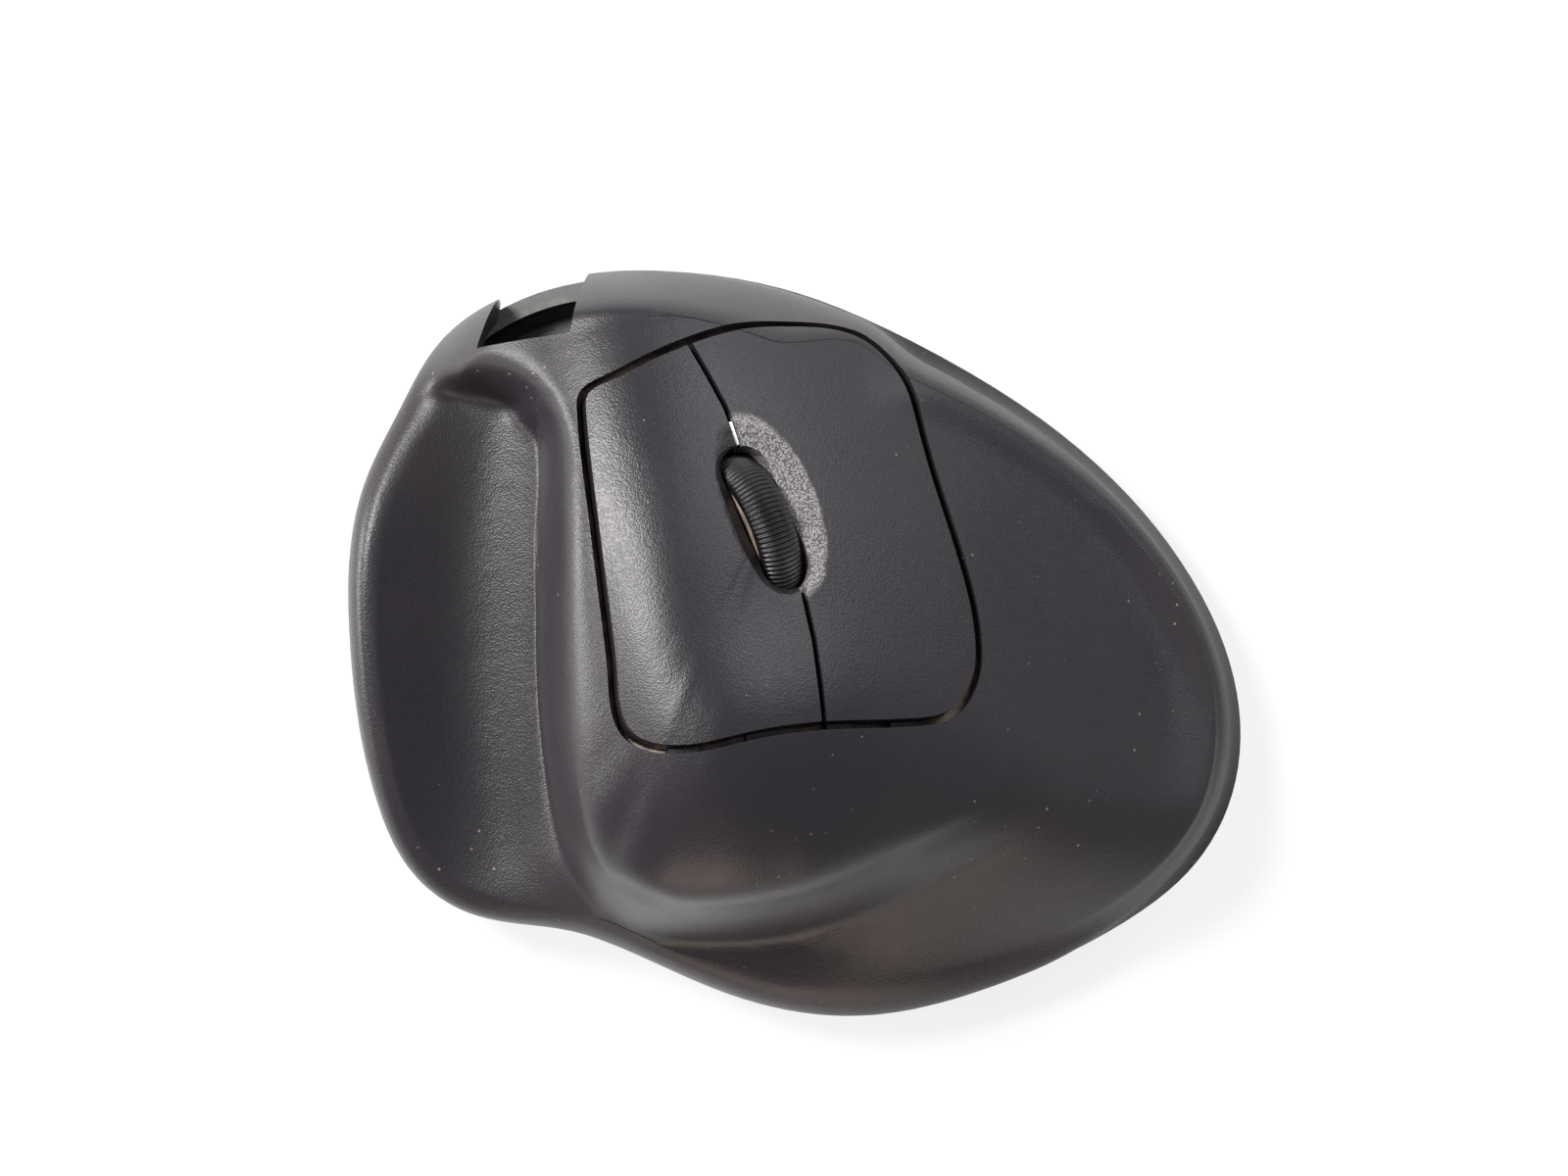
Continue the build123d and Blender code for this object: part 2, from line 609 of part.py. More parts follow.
def make_top_shell():
    room, above = ARM_ROOM
    arms = column(arm_strips("left", room) + arm_strips("right", room), LOW, HIGH) & layer(ARM_DEPTH - above)
    shell = skin - [hollow, column(around_pair(PANEL_GAP), LOW, HIGH), arms]
    window = make_face(Polyline(*WINDOW, close=True))
    shell -= Pos(0, 0, SPLIT_Z - 1) * extrude(window, PEAK_Z)
    within = ribbed_solid(shrunk(ribs, BOSS_ROOT))
    for x, y in CASE_POSTS:
        shell += rod(x, y, CASE_POST_R, SPLIT_Z, PEAK_Z) & within
        shell -= rod(x, y, CASE_SCREW[0] + SCREW_CLEAR, SPLIT_Z - 1, CASE_TIP + SCREW_CLEAR)
    for spot in plate_bosses:
        boss = column(Pos(spot.X, spot.Y) * Circle(PLATE_BOSS_R), LOW, HIGH) & within
        shell += boss - layer(PLATE_DEPTH - SEAT_GAP)
        top = spot.Z - PLATE_DEPTH + PLATE_BITE + SCREW_CLEAR
        shell -= column(Pos(spot.X, spot.Y) * Circle(PLATE_SCREW[0] + SCREW_CLEAR), LOW, top)
    return shell


def leg_spots(side):
    return [on_panel(x, HINGE_Y[side]) for x in HINGE_LEGS[side]]


def hinge_line(side):
    """Panel coordinates of a button's hinge: v, and its height over the panel."""
    v = sum(spot[1] for spot in leg_spots(side)) / 2
    low = min(skin_height(x, HINGE_Y[side]) for x in HINGE_LEGS[side])
    return v, low - HINGE_DEPTH


def hinge_rod(side, radius, start, end):
    """A cylinder on a button's hinge line from u = start to u = end."""
    v, w = hinge_line(side)
    base = panel.from_local_coords(Vector(start, v, w))
    return Plane(base, x_dir=panel.y_dir, z_dir=panel.x_dir) * Cylinder(
        radius, end - start, align=(Align.CENTER, Align.CENTER, Align.MIN)
    )


def switch_spot(side):
    """A switch stands square to the wheel, turned with it."""
    return Pos(*on_panel(*SWITCH_AT[side])) * Rot(0, 0, 90 + SLOT_LEAN)


def plunger_top():
    return BOARD_W + SWITCH[2] + PLUNGER_STANDS


def dish():
    """A long shallow barrel beside the wheel, whose underside hollows the right button."""
    length, width = DISH_HALF
    radius = math.hypot(width, DISH_LIFT)
    sag = radius - DISH_LIFT
    x, y = DISH_AT
    arc = ThreePointArc((x - length, radius - sag), (x, radius), (x + length, radius - sag))
    foot = Polyline((x + length, radius - sag), (x + length, 0), (x - length, 0), (x - length, radius - sag))
    seat = wheel_frame.from_local_coords(Vector(0, y, DISH_LIFT))
    at = Plane(seat, x_dir=wheel_frame.x_dir, z_dir=wheel_frame.z_dir)
    return at * revolve(make_face([arc, foot]), Axis.X)


def make_button(side):
    rim_width, rim_depth = BUTTON_RIM
    post = switch_spot(side) * Circle(POST_R)
    button = (column(halves(0)[side], LOW, HIGH) & crown) - layer(rim_depth)
    button -= column(halves(rim_width)[side] - post, LOW, HIGH) & layer(BUTTON_WALL)
    v, w = hinge_line(side)
    leg_width, leg_wall = LEG
    hangers = [column(post, plunger_top() + POST_GAP, HIGH)]
    for u, _ in leg_spots(side):
        leg = span(u - leg_width / 2, u + leg_width / 2, v - leg_wall / 2, v + leg_wall / 2)
        hangers.append(column(leg, w, HIGH))
        hangers.append(hinge_rod(side, LEG_EYE_R, u - leg_width / 2, u + leg_width / 2))
    arms = (column(arm_strips(side), LOW, HIGH) & layer(ARM_DEPTH)) - layer(ARM_DEPTH + ARM_WALL)
    low_parts = (Part() + hangers) & layer(ARM_DEPTH + ARM_WALL / 4)
    button = Part() + [button, arms, low_parts]
    cut = dish() if side == "right" else extrude(
        panel.offset(-BEVEL_DEPTH) * slot_face(0), 2 * BEVEL_DEPTH, taper=-BEVEL_TAPER)
    return button - [hinge_rod(side, PIN_R + PIN_CLEAR, -FAR, FAR), cut]


def screw_seat(spot):
    """The height over the panel at which a plate screw's head stops."""
    return spot.Z - PLATE_DEPTH - PLATE_WALL - PLATE_PAD


def bearing_spots(side):
    """u of each ear's middle: one ear on each side of each leg."""
    shift = LEG[0] / 2 + LEG_GAP + EAR[0] / 2
    return [u + sign * shift for u, _ in leg_spots(side) for sign in (-1, 1)]


def plate_outline():
    outline = around_pair(PLATE_MARGIN) + span(*PLATE_REAR)
    share, margin = PLATE_ARM
    for spot in plate_bosses:
        u, v = spot.X, spot.Y
        outline += trace(Line((u, v), (u * share, v * share)), 2 * (PLATE_BOSS_R + margin))
        outline += Pos(u, v) * Circle(PLATE_BOSS_R + margin)
    return outline


def by_guide(low, high, margin=0.0):
    """The light guide's section between two places along it, in the wheel's coordinates."""
    x, y, turn = GUIDE_AT
    half = GUIDE_WALL / 2 + margin
    return Pos(x, y) * Rot(0, 0, turn) * span(low - margin, high + margin, -half, half)


def plate_hangers():
    """What hangs from the plate: standoffs, screw pads, hinge ears and the carrier's guide pins."""
    parts = [column(Pos(u, v) * Circle(STANDOFF_R), BOARD_W, HIGH) for u, v in STANDOFFS]
    for spot in plate_bosses:
        parts.append(column(Pos(spot.X, spot.Y) * Circle(PLATE_BOSS_R), screw_seat(spot), HIGH))
    wall, tall = EAR
    for side in HINGE_LEGS:
        v, w = hinge_line(side)
        for u in bearing_spots(side):
            ear = span(u - wall / 2, u + wall / 2, v - tall / 2, v + tall / 2)
            parts.append(column(ear, w - tall / 2, HIGH))
    for x, y in GUIDE_PINS:
        parts.append(by_wheel(Pos(x, y) * Circle(GUIDE_PIN_R), carrier_bottom() - PIN_END, HIGH))
    return parts


def plate_holes():
    thread = Circle(PLATE_SCREW[0] + SCREW_CLEAR)
    head = Circle(PLATE_SCREW[1] + SCREW_CLEAR)
    holes = [column(Pos(spot.X, spot.Y) * thread, LOW, HIGH) for spot in plate_bosses]
    holes += [column(Pos(spot.X, spot.Y) * head, LOW, screw_seat(spot)) for spot in plate_bosses]
    holes += [column(Pos(u, v) * thread, BOARD_W - 1, BOARD_W + STANDOFF_HOLE) for u, v in STANDOFFS]
    for side in HINGE_LEGS:
        v, _ = hinge_line(side)
        half_u, half_v = LEG[0] / 2 + LEG_GAP, LEG_EYE_R + LEG_GAP
        for u, _ in leg_spots(side):
            holes.append(column(span(u - half_u, u + half_u, v - half_v, v + half_v), LOW, HIGH))
        holes.append(hinge_rod(side, PIN_R, -FAR, FAR))
        holes.append(column(switch_spot(side) * Circle(POST_R + POST_HOLE), LOW, HIGH))
    holes.append(by_wheel(Rectangle(*WHEEL_ROOM), LOW, HIGH))
    length, deep, above, _ = ENCODER
    half, far = length / 2 + PLATE_CLEAR, CHEEK[0] + CHEEK[1] + deep + PLATE_CLEAR
    holes.append(by_wheel(span(-half, half, -far, 0), LOW, WHEEL_W + above + PLATE_CLEAR))
    holes.append(by_wheel(by_guide(*GUIDE_STEM, GUIDE_GAP), LOW, HIGH))
    return holes


def make_button_plate():
    inside = hollow.moved(Location(panel.z_dir * -PLATE_CLEAR))
    plate = (column(plate_outline(), LOW, HIGH) & layer(PLATE_DEPTH)) - layer(PLATE_DEPTH + PLATE_WALL)
    plate = plate & inside
    low_parts = (Part() + plate_hangers()) & layer(PLATE_DEPTH + PLATE_WALL / 2)
    thickness, depth = DIVIDER
    before_guide, inside_pair = DIVIDER_GAP
    wheel_and_guide = SlotOverall(2 * (GUIDE_AT[0] + GUIDE_BAR[1] + before_guide), SLOT_WIDTH)
    rib = (trace(split_line, thickness) - slot_place * wheel_and_guide) & around_pair(-inside_pair)
    ribs_up = (column(rib, LOW, HIGH) & layer(depth)) - layer(PLATE_DEPTH + PLATE_BLEND)
    return (Part() + [plate, low_parts, ribs_up]) - plate_holes()


def make_hinge_pins():
    pins = []
    for side in HINGE_LEGS:
        spots = bearing_spots(side)
        reach_out = EAR[0] / 2 - PIN_SHORT
        pins.append(hinge_rod(side, PIN_R, min(spots) - reach_out, max(spots) + reach_out))
    return pins


def carrier_top():
    return WHEEL_W - CARRIER_SINK


def carrier_bottom():
    return carrier_top() - CARRIER_TALL


def make_wheel_carrier():
    inner, wall = CHEEK
    rear, front = CARRIER_REACH
    low, high = carrier_bottom(), carrier_top()
    carrier = by_wheel(span(rear, rear + CARRIER_BAR, -inner - wall, inner + wall), low, high)
    for sign in (-1, 1):
        y0, y1 = sorted((sign * inner, sign * (inner + wall)))
        carrier += by_wheel(span(rear, front, y0, y1), low, high)
        carrier += by_wheel(span(-EAR_HALF, EAR_HALF, y0, y1), low, WHEEL_W)
        carrier += across_wheel(0, WHEEL_W, EAR_HALF, y0, y1)
        y0, y1 = sorted((sign * inner, sign * LUG[1]))
        carrier += by_wheel(span(GUIDE_PINS[1][0] - LUG[0], front, y0, y1), low, high)
    half_tab, tab_out, tab_tall = TAB
    carrier += by_wheel(span(-half_tab, half_tab, inner, tab_out), low, low + tab_tall)
    carrier -= across_wheel(0, WHEEL_W, AXLE_R + RUNNING, -30, 30)
    for x, y in GUIDE_PINS:
        carrier -= by_wheel(Pos(x, y) * Circle(GUIDE_PIN_R + PIN_CLEAR), low - 1, high + 1)
    return carrier


def make_encoder():
    length, deep, above, below = ENCODER
    face = -(CHEEK[0] + CHEEK[1])
    body = by_wheel(span(-length / 2, length / 2, face - deep, face), WHEEL_W - below, WHEEL_W + above)
    return body - across_wheel(0, WHEEL_W, AXLE_R + RUNNING, face - deep + ENCODER_END, face + 1)


def wheel_ring(profile):
    """A closed profile in (y, radius) turned about the axle."""
    at = Plane(wheel_frame.from_local_coords(Vector(0, 0, WHEEL_W)), x_dir=wheel_frame.y_dir,
               z_dir=wheel_frame.x_dir)
    return at * revolve(make_face(profile), Axis.X)


def make_wheel_tyre():
    half_width, rim = WHEEL_WIDTH / 2, WHEEL_R - TYRE_WALL
    side = WHEEL_R - CROWN
    arc = ThreePointArc((-half_width, side), (0, WHEEL_R), (half_width, side))
    foot = Polyline((half_width, side), (half_width, rim), (-half_width, rim), (-half_width, side))
    return wheel_ring([arc, foot])


def make_wheel_hub():
    h, rim, web, boss = WHEEL_WIDTH / 2, WHEEL_R - TYRE_WALL, HUB_WEB / 2, HUB_BOSS
    well = rim - HUB_RIM
    section = Polyline(
        (-h, rim), (h, rim), (h, well), (web, well), (web, boss), (h, boss), (h, AXLE_R),
        (-h, AXLE_R), (-h, boss), (-web, boss), (-web, well), (-h, well), close=True,
    )
    hub = wheel_ring(section)
    count, radius = HUB_HOLES
    for i in range(count):
        a = math.radians(360 * i / count)
        r = (well + boss) / 2
        hub -= across_wheel(r * math.cos(a), WHEEL_W + r * math.sin(a), radius, -h, h)
    return hub


def make_wheel_axle():
    face = CHEEK[0] + CHEEK[1]
    return across_wheel(0, WHEEL_W, AXLE_R, -face - ENCODER[1] + AXLE_ENDS[0], face + AXLE_ENDS[1])


def make_switch(side):
    length, width, tall = SWITCH
    body = column(switch_spot(side) * Rectangle(length, width), BOARD_W, BOARD_W + tall)
    a, b, c = PLUNGER
    pocket = switch_spot(side) * Rectangle(a + 2 * PLUNGER_CLEAR, b + 2 * PLUNGER_CLEAR)
    depth = c - PLUNGER_STANDS + PLUNGER_ROOM
    return body - column(pocket, BOARD_W + tall - depth, BOARD_W + tall + 1)


def make_plunger(side):
    a, b, c = PLUNGER
    top = plunger_top()
    return column(switch_spot(side) * Rectangle(a, b), top - c, top)


def tact_plunger_span():
    top = carrier_bottom() - POST_GAP
    return top - TACT_PLUNGER_TALL, top


def make_middle_switch():
    a, b, tall = TACT
    body = by_wheel(Pos(*TACT_AT) * Rectangle(a, b), BOARD_W, BOARD_W + tall)
    low, _ = tact_plunger_span()
    hole = Pos(*TACT_AT) * Circle(TACT_PLUNGER_R + PLUNGER_CLEAR)
    return body - by_wheel(hole, low - PLUNGER_ROOM, BOARD_W + tall + 1)


def make_middle_plunger():
    low, high = tact_plunger_span()
    return by_wheel(Pos(*TACT_AT) * Circle(TACT_PLUNGER_R), low, high)


def make_switch_board():
    board = column(span(*BOARD), BOARD_W - BOARD_WALL, BOARD_W)
    board -= by_wheel(Rectangle(*BOARD_SLOT), BOARD_W - 5, BOARD_W + 5)
    for u, v in STANDOFFS:
        board -= column(Pos(u, v) * Circle(PLATE_SCREW[0] + SCREW_CLEAR), BOARD_W - 5, BOARD_W + 5)
    return board


def screw(thread, head, head_tall, length):
    """Head down, its seat at z = 0, thread up."""
    shank = Cylinder(thread, length, align=(Align.CENTER, Align.CENTER, Align.MIN))
    cap = Pos(0, 0, -head_tall) * Cylinder(head, head_tall, align=(Align.CENTER, Align.CENTER, Align.MIN))
    share, wide, deep = SCREW_SLOT
    cross = Pos(0, 0, -head_tall) * (Box(head * share, wide, deep) + Box(wide, head * share, deep))
    return shank + cap - cross


def make_plate_screws():
    out = []
    for spot in plate_bosses:
        length = PLATE_WALL + PLATE_PAD + PLATE_BITE - SCREW_SHORT
        out.append(panel.offset(screw_seat(spot)) * (Pos(spot.X, spot.Y) * screw(*PLATE_SCREW, length)))
    return out


def make_board_screws():
    seat = BOARD_W - BOARD_WALL
    made = screw(*PLATE_SCREW, BOARD_WALL + BOARD_BITE)
    return [panel.offset(seat) * (Pos(u, v) * made) for u, v in STANDOFFS]


def make_light_guide():
    middle = wheel_frame.from_local_coords(Vector(*GUIDE_AT[:2], 0))
    level = skin_height(middle.X, middle.Y)
    bar = by_wheel(by_guide(*GUIDE_BAR), level - PLATE_DEPTH + GUIDE_SEAT, level - GUIDE_TOP)
    return bar + by_wheel(by_guide(*GUIDE_STEM), BOARD_W + LAMP[2] + GUIDE_FOOT, level - PLATE_DEPTH + 1)


def make_status_lamp():
    x, y, turn = GUIDE_AT
    middle = Pos(sum(GUIDE_STEM) / 2, 0)
    return by_wheel(Pos(x, y) * Rot(0, 0, turn) * middle * Rectangle(*LAMP[:2]), BOARD_W, BOARD_W + LAMP[2])


def lean(deg):
    """How far the wall leans in per mm of height, just over the parting line."""
    return max(wall_flare(deg), -1.0) / (rim_z(deg) - SPLIT_Z)


def make_lower_casing():
    casing = stepped(CASING_RINGS)
    (a, top), (b, mid), (c, _) = CASING_RINGS
    raised, thinned = CASING_BEND
    within = [(a + CASING_WALL, top), (b + CASING_WALL, mid + raised), (c + CASING_WALL - thinned, FLOOR_TOP)]
    casing -= stepped(within)
    inset, wall, high = TONGUE
    rise = high - SPLIT_Z

    def outer(deg):
        return inset + max(lean(deg), 0) * rise * TONGUE_LEAN

    def inner(deg):
        return outer(deg) + wall

    tongue = stepped([(outer, mid), (outer, high)]) - stepped([(inner, mid - 1), (inner, high + 1)])
    casing += tongue & block(-80, 80, -80, 80, top - TONGUE_ROOT, high)
    head, head_tall = CASE_SCREW[1:]
    beside, over = HEAD_SINK
    for x, y in CASE_POSTS:
        casing += rod(x, y, CASE_POST_R, BASE_Z + POST_FOOT, SPLIT_Z - SEAT_GAP)
        casing -= rod(x, y, head + beside, 0, BASE_Z + head_tall + over)
        casing -= rod(x, y, CASE_SCREW[0] + SCREW_CLEAR, 0, SPLIT_Z + 1)
    for x, y in MAIN_POSTS:
        casing += rod(x, y, MAIN_POST_R, BASE_Z + POST_FOOT, MAIN_TOP - MAIN_WALL)
        casing -= rod(x, y, PLATE_SCREW[0] + SCREW_CLEAR, BASE_Z + TIP_ROOM, MAIN_TOP)
    for x, y in PORT_POSTS:
        casing += rod(x, y, MAIN_POST_R, BASE_Z + POST_FOOT, PORT_TOP - PORT_WALL)
        casing -= rod(x, y, PLATE_SCREW[0] + SCREW_CLEAR, BASE_Z + TIP_ROOM, PORT_TOP)
    for x, y, length, width, turn in FEET:
        seat = Pos(x, y) * Rot(0, 0, turn) * RectangleRounded(
            length + 2 * FOOT_GAP, width + 2 * FOOT_GAP, width / 2 - ALMOST_ROUND)
        casing -= extrude(seat, BASE_Z + FOOT_SEAT)
    x, y = SENSOR_AT
    casing -= rod(x, y, LENS_R + LENS_GAP, 0, FLOOR_TOP + 1)
    wider, deep = LENS_WELL
    casing -= extrude(Pos(x, y) * RectangleRounded(LENS[0] + wider, LENS[1] + wider, LENS_R), BASE_Z + deep)
    x, y = SLIDER_AT
    length, width, _ = SLIDER
    half_long = (length + SLIDER_TRAVEL) / 2 + SLIDER_GAP
    half_wide = width / 2 + SLIDER_GAP
    casing -= block(x - half_long, x + half_long, y - half_wide, y + half_wide, 0, BASE_Z + SLIDER_RECESS)
    long_half = (SLIDER_STEM + SLIDER_TRAVEL) / 2 + SLIDER_GAP
    half_stem = SLIDER_STEM / 2 + SLIDER_GAP
    casing -= block(x - long_half, x + long_half, y - half_stem, y + half_stem, 0, FLOOR_TOP + 1)
    return casing


def make_case_screws():
    seat = BASE_Z + CASE_SCREW[2] + HEAD_SINK[1]
    return [Pos(x, y, seat) * screw(*CASE_SCREW, CASE_TIP - seat) for x, y in CASE_POSTS]


def top_screw(x, y, z, length):
    """A small screw set from above, its seat at z."""
    return Pos(x, y, z) * Rot(180, 0, 0) * screw(*PLATE_SCREW, length)


def make_main_board_screws():
    spots = [(x, y, MAIN_TOP, MAIN_WALL + MAIN_BITE) for x, y in MAIN_POSTS]
    spots += [(x, y, PORT_TOP, PORT_WALL + PORT_BITE) for x, y in PORT_POSTS]
    return [top_screw(*spot) for spot in spots]


def make_main_board():
    board = block(*MAIN, MAIN_TOP - MAIN_WALL, MAIN_TOP)
    for x, y in MAIN_POSTS:
        board -= rod(x, y, PLATE_SCREW[0] + SCREW_CLEAR, 0, MAIN_TOP + 1)
    return board - rod(*SENSOR_AT, SENSOR_EYE_R + EYE_HOLE, 0, MAIN_TOP + 1)


def make_optical_sensor():
    x, y = SENSOR_AT
    a, b, c = SENSOR
    chip = block(x - a / 2, x + a / 2, y - b / 2, y + b / 2, MAIN_TOP, MAIN_TOP + c)
    return chip + rod(x, y, SENSOR_EYE_R, MAIN_TOP - MAIN_WALL, MAIN_TOP)


def make_sensor_lens():
    x, y = SENSOR_AT
    a, b, c = LENS
    seat = FLOOR_TOP + SEAT_GAP
    flange = block(x - a / 2, x + a / 2, y - b / 2, y + b / 2, seat, seat + c)
    thinner, gap = LENS_TIP
    tip = rod(x, y, SENSOR_EYE_R - thinner, seat, MAIN_TOP - MAIN_WALL - gap)
    return flange + rod(x, y, LENS_R, BASE_Z + POST_FOOT, seat) + tip


def make_sensor_led():
    x, y = SENSOR_AT
    a, b, c = SENSOR_LED
    x += SENSOR[0] / 2 + a / 2 + LED_GAP
    return block(x - a / 2, x + a / 2, y - b / 2, y + b / 2, MAIN_TOP, MAIN_TOP + c)


def make_port_board():
    board = block(*PORT_BOARD, PORT_TOP - PORT_WALL, PORT_TOP)
    for x, y in PORT_POSTS:
        board -= rod(x, y, PLATE_SCREW[0] + SCREW_CLEAR, 0, PORT_TOP + 1)
    return board


def make_charging_socket():
    width, deep, tall = SOCKET
    x, y, z = SOCKET_X, SOCKET_MOUTH, PORT_TOP + tall / 2
    at = Plane((x, y, z), x_dir=(1, 0, 0), z_dir=(0, -1, 0))
    shell = extrude(at * RectangleRounded(width, tall, tall / 2 - ALMOST_ROUND), deep)
    wall = SOCKET_WALL
    bore = RectangleRounded(width - 2 * wall, tall - 2 * wall, tall / 2 - wall - ALMOST_ROUND)
    shell -= extrude(at * bore, deep - SOCKET_BACK)
    tongue_width, tongue_deep, tongue_tall = SOCKET_TONGUE
    start = at.offset(deep - SOCKET_BACK - tongue_deep)
    return shell + extrude(start * Rectangle(tongue_width, tongue_tall), tongue_deep + SOCKET_BACK / 2)


def make_battery():
    a, b, c = BATTERY
    x, y = BATTERY_AT
    low = FLOOR_TOP + PAD_WALL
    cell = block(x - a / 2, x + a / 2, y - b / 2, y + b / 2, low, low + c)
    return fillet(cell.edges().filter_by(Axis.X), BATTERY_ROUND)


def make_battery_pad():
    a, b, _ = BATTERY
    x, y = BATTERY_AT
    half_a, half_b = a / 2 - PAD_INSET, b / 2 - BATTERY_ROUND
    return block(x - half_a, x + half_a, y - half_b, y + half_b, FLOOR_TOP, FLOOR_TOP + PAD_WALL)


def make_power_switch():
    a, b, c = POWER_SWITCH
    x, y = SLIDER_AT
    top = MAIN_TOP - MAIN_WALL
    body = block(x - a / 2, x + a / 2, y - b / 2, y + b / 2, top - c, top)
    long_half = (SLIDER_STEM + SLIDER_TRAVEL) / 2 + SLIDER_GAP
    half_stem = SLIDER_STEM / 2 + SLIDER_GAP
    low, high = top - c - 1, STEM_TOP + STEM_ROOM
    return body - block(x - long_half, x + long_half, y - half_stem, y + half_stem, low, high)


def make_power_slider():
    a, b, c = SLIDER
    x, y = SLIDER_AT
    x -= SLIDER_TRAVEL / 2
    low = BASE_Z + SLIDER_GAP
    plate = block(x - a / 2, x + a / 2, y - b / 2, y + b / 2, low, low + c)
    half_stem = SLIDER_STEM / 2
    plate += block(x - half_stem, x + half_stem, y - half_stem, y + half_stem, low + c, STEM_TOP)
    count, spacing, half, margin, deep = GRIPS
    for i in range(count):
        at = x + (i - (count - 1) / 2) * spacing
        plate -= block(at - half, at + half, y - b / 2 + margin, y + b / 2 - margin, low - 1, low + deep)
    return plate


def make_glide_feet():
    feet = []
    for x, y, length, width, turn in FEET:
        plan = Pos(x, y) * Rot(0, 0, turn) * RectangleRounded(length, width, width / 2 - ALMOST_ROUND)
        foot = extrude(plan, BASE_Z + FOOT_SEAT)
        feet.append(chamfer(foot.faces().sort_by(Axis.Z)[0].edges(), FOOT_CHAMFER))
    return feet


def cable_ends():
    """Where the cable leaves the plug under the switch board, and where it meets the main board's plug."""
    u, v = CABLE_FROM
    start = panel.from_local_coords(Vector(u, v, BOARD_W - BOARD_WALL - CABLE_PLUG[2]))
    corner = start - panel.z_dir * CABLE_RUN
    return start, corner, Vector(corner.X, corner.Y, MAIN_TOP + CABLE_PLUG[2])


def make_cable_plugs():
    a, b, c = CABLE_PLUG
    u, v = CABLE_FROM
    upper = column(Pos(u, v) * Rectangle(a, b), BOARD_W - BOARD_WALL - c, BOARD_W - BOARD_WALL)
    end = cable_ends()[2]
    return [upper, block(end.X - a / 2, end.X + a / 2, end.Y - b / 2, end.Y + b / 2, MAIN_TOP, MAIN_TOP + c)]


def make_board_cable():
    start, corner, end = cable_ends()
    path = FilletPolyline(start, corner, end, radius=CABLE_BEND)
    section = Plane(start, z_dir=panel.z_dir * -1) * Circle(CABLE_R)
    return sweep(section, path=path)


def as_one(shape):
    """The solids of one node, kept apart."""
    parts = shape if isinstance(shape, list) else [shape]
    return Compound(children=[solid for part in parts for solid in part.solids()])


nodes = {
    "top_shell": make_top_shell,
    "left_button": lambda: make_button("left"),
    "right_button": lambda: make_button("right"),
    "button_plate": make_button_plate,
    "hinge_pins": make_hinge_pins,
    "plate_screws": make_plate_screws,
    "wheel_tyre": make_wheel_tyre,
    "wheel_hub": make_wheel_hub,
    "wheel_axle": make_wheel_axle,
    "wheel_carrier": make_wheel_carrier,
    "encoder": make_encoder,
    "middle_switch": make_middle_switch,
    "middle_plunger": make_middle_plunger,
    "switch_board": make_switch_board,
    "left_switch": lambda: make_switch("left"),
    "right_switch": lambda: make_switch("right"),
    "left_plunger": lambda: make_plunger("left"),
    "right_plunger": lambda: make_plunger("right"),
    "board_screws": make_board_screws,
    "light_guide": make_light_guide,
    "status_lamp": make_status_lamp,
    "lower_casing": make_lower_casing,
    "case_screws": make_case_screws,
    "main_board": make_main_board,
    "main_board_screws": make_main_board_screws,
    "optical_sensor": make_optical_sensor,
    "sensor_lens": make_sensor_lens,
    "sensor_led": make_sensor_led,
    "port_board": make_port_board,
    "charging_socket": make_charging_socket,
    "battery": make_battery,
    "battery_pad": make_battery_pad,
    "power_switch": make_power_switch,
    "power_slider": make_power_slider,
    "glide_feet": make_glide_feet,
    "board_cable": make_board_cable,
    "cable_plugs": make_cable_plugs,
}
os.makedirs("parts", exist_ok=True)
for name, make in nodes.items():
    export_step(as_one(make()), f"parts/{name}.step")
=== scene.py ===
# %% [markdown]
# # A hand-rest mouse seen from above
# The mouse is one dark, soft-touch shell that carries the whole hand. Its solids come ready made from the
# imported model, so this lesson is about looks: light, finishes and the small forms that make them believable.
# Everything is in metres, in the frame of the solids: x to the right, y to the fingers, z up.

import json
import math

import bmesh
import bpy
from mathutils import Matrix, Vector


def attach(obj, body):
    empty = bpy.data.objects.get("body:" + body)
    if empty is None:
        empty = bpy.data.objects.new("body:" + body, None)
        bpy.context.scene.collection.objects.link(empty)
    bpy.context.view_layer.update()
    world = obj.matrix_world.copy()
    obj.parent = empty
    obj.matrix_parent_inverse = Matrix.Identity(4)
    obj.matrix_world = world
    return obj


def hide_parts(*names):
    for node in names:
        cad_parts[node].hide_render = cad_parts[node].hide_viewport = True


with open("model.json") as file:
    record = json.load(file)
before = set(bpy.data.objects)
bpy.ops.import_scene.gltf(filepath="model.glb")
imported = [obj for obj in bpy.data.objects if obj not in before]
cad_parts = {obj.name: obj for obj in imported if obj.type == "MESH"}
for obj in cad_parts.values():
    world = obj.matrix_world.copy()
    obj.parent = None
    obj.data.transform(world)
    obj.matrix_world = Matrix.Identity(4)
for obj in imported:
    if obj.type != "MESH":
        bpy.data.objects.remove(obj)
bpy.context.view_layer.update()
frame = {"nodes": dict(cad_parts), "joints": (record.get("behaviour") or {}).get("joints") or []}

# %% [markdown]
# ## The camera
# The photograph looks straight down. A long lens about 600 mm over the desk keeps the outline true while the
# tall hump still swells a little towards the eye, as it does in the picture.

# %% Camera
CAMERA_HEIGHT = 0.6
CAMERA_SPOT = (-0.00216, 0.00805)
SENSOR = 36.0
PIXELS_WIDE = 1600
PIXELS_PER_METRE = 6840  # on the desk

